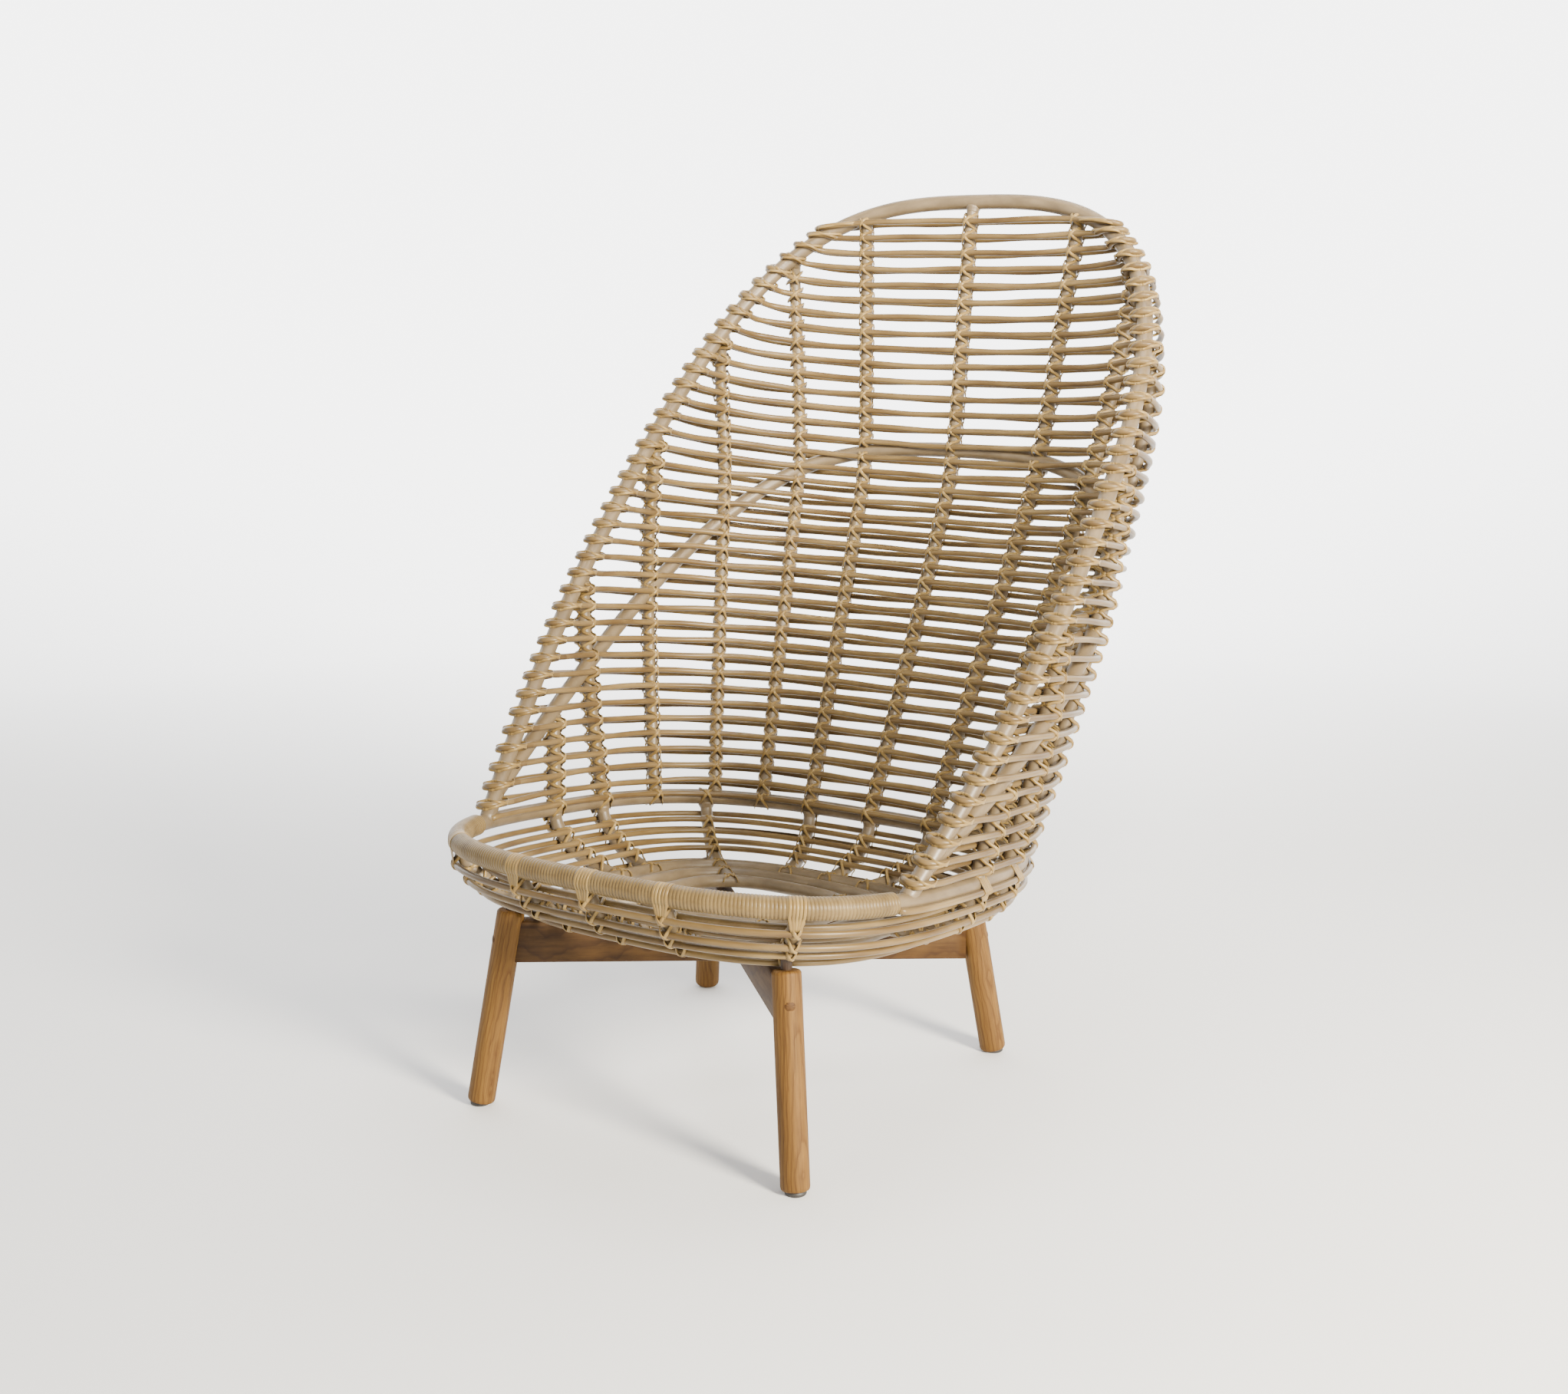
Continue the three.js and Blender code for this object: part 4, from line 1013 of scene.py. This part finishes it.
def spoke_axis(angle):
    """From the seat ring in to the outermost bottom ring, or over a leg to the innermost."""
    end = BOWL_RING_SHARES[0] if over_leg(angle) else BOWL_RING_SHARES[-1]
    turns = np.linspace(0, math.pi / 2, 60)
    shares = BOWL_FLOOR_SHARE + (1 - BOWL_FLOOR_SHARE) * np.cos(turns)
    points = [bowl_point(angle, s) for s in shares if s > end] + [bowl_point(angle, end)]
    return resample(np.array(points), SPOKE_STEP)


def bowl_line(share, layer):
    """A course over (-1) or under (+1) the spokes."""
    points = []
    for angle in full_turn(240):
        points.append(bowl_point(angle, share) + bowl_normal(angle, share) * layer * OVER_RIB)
    return smoothed(resample(np.array(points), BOWL_CANE_STEP, True), 2, True)


def bowl_tie(skin, angle, share, layer, over=OVER_RIB + CANE_RADIUS - TIE_SINK):
    normal = bowl_normal(angle, share) * layer
    along = unit(bowl_across(angle, share))
    up = unit(np.cross(along, normal))
    cross_tie(skin, bowl_point(angle, share), normal, along, up, over)


def bowl_pieces():
    spokes = spoke_angles()
    skin = Skin()
    for angle in spokes:
        line = spoke_axis(angle)
        skin.tube(line, RIB_RADIUS, RIB_SIDES)
        weld(skin, line[0], line[2] - line[0])
    for share in BOWL_RING_SHARES:
        ring = np.array([bowl_point(a, share) for a in full_turn(180)])
        skin.tube(ring, RIB_RADIUS, RIB_SIDES, closed=True)
    make("bowl_frame", skin, TUBE, ["seat_spider"])
    ties = Skin()
    for place, layer, shares in BOWL_COURSES:
        skin = Skin()
        for share in shares:
            skin.tube(bowl_line(share, layer), CANE_RADIUS, CANE_SIDES, closed=True)
            for angle in spokes:
                bowl_tie(ties, angle, share, layer)
        make(f"bowl_cane_{place}", skin, CANE, [f"bowl_weave_{place}"])
    for angle in spokes:
        for share in BOWL_RING_SHARES if over_leg(angle) else BOWL_RING_SHARES[-1:]:
            bowl_tie(ties, angle, share, -1, RIB_RADIUS + TIE_GAP)
    make("bowl_ties", ties, FLAT_CANE)


# Winding, canes and bands of the seat ring


def wrap_axis():
    end = wound_end()
    return np.array([ring_point(a) for a in np.linspace(TURN - end, end, 700)])


def front_winding():
    """Flat cane wound closely round the front rail, each turn a low crowned band."""
    line = wrap_axis()
    pitch = run_lengths(line)[-1] / WRAP_TURNS
    line = resample(line, pitch / WRAP_STEPS)
    tangents = unit(np.gradient(line, axis=0))
    normals = unit(UP - tangents * tangents[:, 2:3])
    lengths = run_lengths(line)
    phase = (lengths[:, None] / pitch - side_angles(WRAP_SIDES)[None] / TURN) % 1.0
    crown = np.sqrt(np.clip(1 - (2 * phase - 1) ** 2, 0, 1))
    ends = np.minimum(lengths, lengths[-1] - lengths)[:, None]
    radius = WRAP_RADIUS - WRAP_GROOVE + WRAP_CROWN * crown
    radius = radius * np.where(ends < WRAP_END_LENGTH, WRAP_END_SCALE, 1.0)
    circles = unit_circles(normals, np.cross(tangents, normals), WRAP_SIDES)
    skin = Skin()
    skin.rings(line[:, None] + radius[..., None] * circles, lengths=lengths * WRAP_STREAK)
    winding = make("front_winding", skin, WRAP_CANE, ["front_rail_winding"])
    # The crown height also feeds the material's painted shade in the grooves between turns.
    crowns = winding.data.attributes.new("crown", "FLOAT", "POINT")
    crowns.data.foreach_set("value", crown.ravel())


def ring_directions(angle):
    """Along the seat ring, out from it and up from it."""
    along = unit(ring_point(angle + ANGLE_PROBE) - ring_point(angle - ANGLE_PROBE))
    out = unit(np.cross(along, UP))
    out = out if out[:2] @ ring_point(angle)[:2] > 0 else -out
    up = np.cross(along, out)
    return along, out, up if up[2] > 0 else -up


def ring_facing(angle, tilt):
    """Away from the seat ring's middle line, tilted up from straight out."""
    _, out, up = ring_directions(angle)
    return math.cos(tilt) * out + math.sin(tilt) * up


def ring_canes():
    """Canes on the seat ring: under its outer edge up to the winding, and inside it."""
    skin = Skin()
    hoop_end = angle_towards(HOOP_BASE_X, HOOP_BASE_Y)
    for tilt, end in ((UNDER_TILT, wound_end()), (INNER_TILT, hoop_end)):
        angles = np.linspace(-end, end, 400)
        sunk = 1 - np.clip(np.minimum(angles + end, end - angles) / RING_CANE_END, 0, 1)
        reach = RING_CANE_OUT - RING_CANE_SINK * sunk**2
        points = [ring_point(a) + r * ring_facing(a, tilt) for a, r in zip(angles, reach)]
        skin.tube(resample(np.array(points), BOWL_CANE_STEP), CANE_RADIUS, CANE_SIDES)
    make("seat_ring_canes", skin, CANE)


def bundle_angles(spokes):
    """Spokes, and the ribs on both sides that stand clear of them."""
    ribs = []
    for angle in (rib_foot_angle(j) for j in range(LAST_RIB + 1) if j not in SPOKE_RIBS):
        rail = ring_point(angle)
        if min(np.linalg.norm(rail - ring_point(a)) for a in spokes) > BUNDLE_ROOM:
            ribs.append(angle)
    return spokes + ribs + [TURN - a for a in ribs]


def rail_bundles():
    """Bands over the seat ring at each spoke and rib, run down to the first cane below."""
    skin = Skin()
    spokes = spoke_angles()
    for angle in bundle_angles(spokes):
        rail = ring_point(angle)
        along, out, up = ring_directions(angle)
        if rail[1] < WRAP_END_Y:
            facing = fan(np.linspace(*WOUND_ARC, 26), out, up)
            line = rail + BAND_OVER_WRAP * facing
            drop = WOUND_DROP
        else:
            facing = fan(np.linspace(*BARE_ARC, 26), out, up)
            over = fan(np.linspace(*CANE_ARC, 12), out, up)
            cane = rail + RING_CANE_OUT * ring_facing(angle, UNDER_TILT)
            line = np.vstack([cane + BAND_OVER_CANE * over, rail + BAND_OVER_RING * facing])
            facing = np.vstack([over, facing])
            drop = SPOKE_DROP if angle in spokes else RIB_DROP
            inward = ring_facing(angle, INNER_TILT)
            sizes = (RING_CANE_OUT + CANE_RADIUS, RING_TIE_TUBE, RING_TIE_RISE)
            cross_tie(skin, rail, inward, along, np.cross(along, inward), *sizes)
        drop = np.linspace(*drop, BAND_TAIL)[:, None]
        facing = np.vstack([np.repeat(out[None], BAND_TAIL, axis=0), facing])
        for i in range(BAND_COUNT):
            shift = (i - (BAND_COUNT - 1) / 2) * BAND_STEP
            gathered = along * shift * (1 - 0.5 * drop / drop[-1])
            tail = line[0] + gathered - up * drop - out * drop * 0.1
            skin.strip(np.vstack([tail[::-1], line + along * shift]), facing, *BAND_SIZE)
    make("rail_bundles", skin, FLAT_CANE)


# Wooden base


def leg_axis(corner, z):
    share = z / LEG_HEIGHT
    x, y = (side * (a + (b - a) * share) for side, a, b in zip(corner, FOOT, LEG_TOP))
    return np.array([x, y, z])


def leg_top_height(corner):
    """The back legs end lower, under the bowl."""
    if corner[1] < 0:
        return LEG_HEIGHT
    splay = (FOOT[1] - LEG_TOP[1]) / LEG_HEIGHT
    return (LEG_HEIGHT + seat_fall(FOOT[1])) / (1 + RING_SLOPE * splay)


def turned(start, axis, profile, sides):
    """A turned solid from pairs of distance along the axis and radius."""
    axis = unit(axis)
    points = np.array([start + axis * d for d, _ in profile])
    side = unit(np.cross(axis, [0.3, 0.9, 0.1]))
    circle = unit_circles(side[None], np.cross(axis, side)[None], sides)
    radii = np.array([r for _, r in profile])[:, None, None]
    skin = Skin()
    skin.rings(points[:, None] + radii * circle, lengths=run_lengths(points))
    return skin


def leg_profile(length):
    marks = np.linspace(LEG_LOWER_PROFILE[-1][0], length - 5, 24)
    straight = [(m, LEG_RADIUS) for m in marks[1:]]
    upper = [(length + d, LEG_RADIUS + r) for d, r in LEG_UPPER_PROFILE]
    return LEG_LOWER_PROFILE + straight + upper + [(length, TIP)]


def base_pieces():
    outward = unit(np.array([*LEG_TOP, 0.0]))
    for name, corner in CORNERS.items():
        foot, top = leg_axis(corner, 0.0), leg_axis(corner, leg_top_height(corner))
        axis = unit(top - foot)
        skin = turned(foot, axis, leg_profile(np.linalg.norm(top - foot)), 40)
        make(f"leg_turned_{name}", skin, LEG_WOOD, [f"leg_{name}"])
        skin = turned(foot, UP, GLIDE_PROFILE, 32)
        make(f"glide_{name}", skin, DARK, [f"floor_glide_{name}"])
        away = outward * np.array([*corner, 0.0])
        away = unit(away - axis * (away @ axis))
        middle = leg_axis(corner, RAIL_MIDDLE + seat_fall(LEG_TOP[1] * corner[1]))
        skin = turned(middle + away * (LEG_RADIUS - PLUG_SUNK), away, PLUG_PROFILE, 28)
        make(f"plug_{name}", skin, PLUG_WOOD, [f"leg_plug_{name}"])


def rounded_bar(start, end):
    """A straight rail with eased edges."""
    along = unit(end - start)
    side = unit(np.cross(UP, along))
    h, t = RAIL_HEIGHT / 2, RAIL_THICKNESS / 2
    eased = 0.3 * RAIL_EDGE
    corners = [(t - RAIL_EDGE, h), (t - eased, h - eased), (t, h - RAIL_EDGE)]
    outline = []
    for sx, sy, flip in ((1, 1, 1), (1, -1, -1), (-1, -1, 1), (-1, 1, -1)):
        outline += [(sx * a, sy * b) for a, b in corners[::flip]]
    marks = np.linspace(0, np.linalg.norm(end - start), 30)
    rings = [[start + along * m + side * a + UP * b for a, b in outline] for m in marks]
    skin = Skin()
    skin.rings(np.array(rings), lengths=marks)
    return skin


def cross_rails():
    """Two rails from leg to leg; one lies a hair lower, so their tops don't share a plane."""
    for name, corner, drop in (("upper", (1, 1), 0.0), ("lower", (-1, 1), LAP_STEP)):
        ends = []
        for side in (-1, 1):
            x, y = side * corner[0] * LEG_TOP[0], side * corner[1] * LEG_TOP[1]
            ends.append(np.array([x, y, RAIL_MIDDLE + seat_fall(y) - drop]))
        skin = rounded_bar(*ends)
        make(f"rail_{name}", skin, RAIL_WOOD_SHADED, [f"cross_rail_{name}"])


def carried_nodes():
    """CAD pieces that show as they are get a material of their own: the leg spacers a very dark
    brown, painted shade for the gap under the skirt.
    """
    for name in CORNERS:
        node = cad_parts[f"leg_spacer_{name}"]
        node.data.materials.clear()
        node.data.materials.append(SPACER)


# Stage


def area_light(name, place, target, size, power, color=WHITE, spread=180.0):
    data = bpy.data.lights.new(name, "AREA")
    data.shape = "DISK"
    data.size = size
    data.energy = power
    data.color = color
    data.spread = math.radians(spread)
    lamp = bpy.data.objects.new(name, data)
    lamp.location = place
    lamp.rotation_euler = (Vector(target) - Vector(place)).to_track_quat("-Z", "Y").to_euler()
    bpy.context.scene.collection.objects.link(lamp)


def sweep_mesh():
    """A seamless round sweep: a floor that curves up into a wall."""
    profile = [(SWEEP_DISC, 0.0)]
    for t in np.radians(np.linspace(0, 90, 8)):
        radius = SWEEP_FLOOR + SWEEP_BEND * math.sin(t)
        profile.append((radius, SWEEP_BEND - SWEEP_BEND * math.cos(t)))
    profile.append((SWEEP_FLOOR + SWEEP_BEND, SWEEP_HEIGHT))
    around = full_turn(SWEEP_SIDES)
    points = [(r * math.cos(a), r * math.sin(a), z) for r, z in profile for a in around]
    faces = [tuple(range(SWEEP_SIDES))]
    for i in range(len(profile) - 1):
        here, there = i * SWEEP_SIDES, (i + 1) * SWEEP_SIDES
        for k in range(SWEEP_SIDES):
            side = (k + 1) % SWEEP_SIDES
            faces.append((here + k, there + k, there + side, here + side))
    mesh = bpy.data.meshes.new("sweep")
    mesh.from_pydata(points, [], faces)
    mesh.polygons.foreach_set("use_smooth", [True] * len(faces))
    return mesh


def sweep_material():
    """Pale and dull, darker far out, and glowing behind the chair as the photograph sees it."""
    n = Nodes("pale_sweep")
    fill(n.shader, Roughness=0.85, Specular_IOR_Level=0.1, Emission_Color=(*WHITE, 1.0))
    place = n.add("NewGeometry").outputs["Position"]
    depth = n.add("VectorMath", operation="DOT_PRODUCT")
    depth.inputs[1].default_value = (-math.sin(VIEW_AZIMUTH), math.cos(VIEW_AZIMUTH), 0.0)
    n.link(place, depth.inputs[0])
    far = n.add("VectorMath", operation="LENGTH")
    n.link(place, far.inputs[0])
    behind = n.smooth(depth.outputs["Value"], 0.8, 4.4, 4.4)
    wall = n.smooth(far.outputs["Value"], 2.6, 5.0, 0.6)
    reach = n.smooth(far.outputs["Value"], 1.6, 4.4, 1.0)
    n.paint(n.ramp(reach, (0.0, (0.78, 0.78, 0.78)), (1.0, (0.22, 0.22, 0.22))))
    n.link(n.math("ADD", behind, wall), n.shader.inputs["Emission Strength"])
    return n.material


def stage():
    mesh = sweep_mesh()
    mesh.materials.append(sweep_material())
    sweep = bpy.data.objects.new("sweep", mesh)
    bpy.context.scene.collection.objects.link(sweep)
    world = bpy.data.worlds.new("studio")
    world.use_nodes = True
    fill(world.node_tree.nodes["Background"], Color=(*WHITE, 1.0), Strength=0.14)
    bpy.context.scene.world = world
    target = (0.0, 0.0, 0.55)
    area_light("key", (3.5, -1.1, 1.75), target, 1.0, 590.0, (1.0, 0.915, 0.76))
    area_light("fill", (-2.2, -2.6, 1.6), target, 2.0, 6.0)
    area_light("top", (0.2, 0.3, 3.2), target, 1.6, 48.0)
    area_light("crown", (1.3, -1.7, 2.5), (0.05, 0.35, 1.2), 0.7, 9.0, (1.0, 0.96, 0.88), 35.0)


def camera():
    level_x, level_y = -math.sin(VIEW_AZIMUTH), math.cos(VIEW_AZIMUTH)
    flat, down = math.cos(VIEW_PITCH), math.sin(VIEW_PITCH)
    forward = Vector((level_x * flat, level_y * flat, -down))
    data = bpy.data.cameras.new("camera")
    data.sensor_fit = "HORIZONTAL"
    data.sensor_width = SENSOR_WIDTH
    data.lens = FOCAL_PIXELS / PHOTO_WIDTH * SENSOR_WIDTH
    eye = bpy.data.objects.new("camera", data)
    eye.rotation_euler = forward.to_track_quat("-Z", "Y").to_euler()
    x, y, z = VIEW_PLACE
    eye.location = (x, y + SHIFT_Y / MM, z)
    bpy.context.scene.collection.objects.link(eye)
    bpy.context.scene.camera = eye


def build():
    frame_pieces()
    back_canes()
    back_ties()
    hoop_ties()
    bowl_pieces()
    front_winding()
    ring_canes()
    rail_bundles()
    base_pieces()
    cross_rails()
    carried_nodes()
    stage()
    camera()


build()
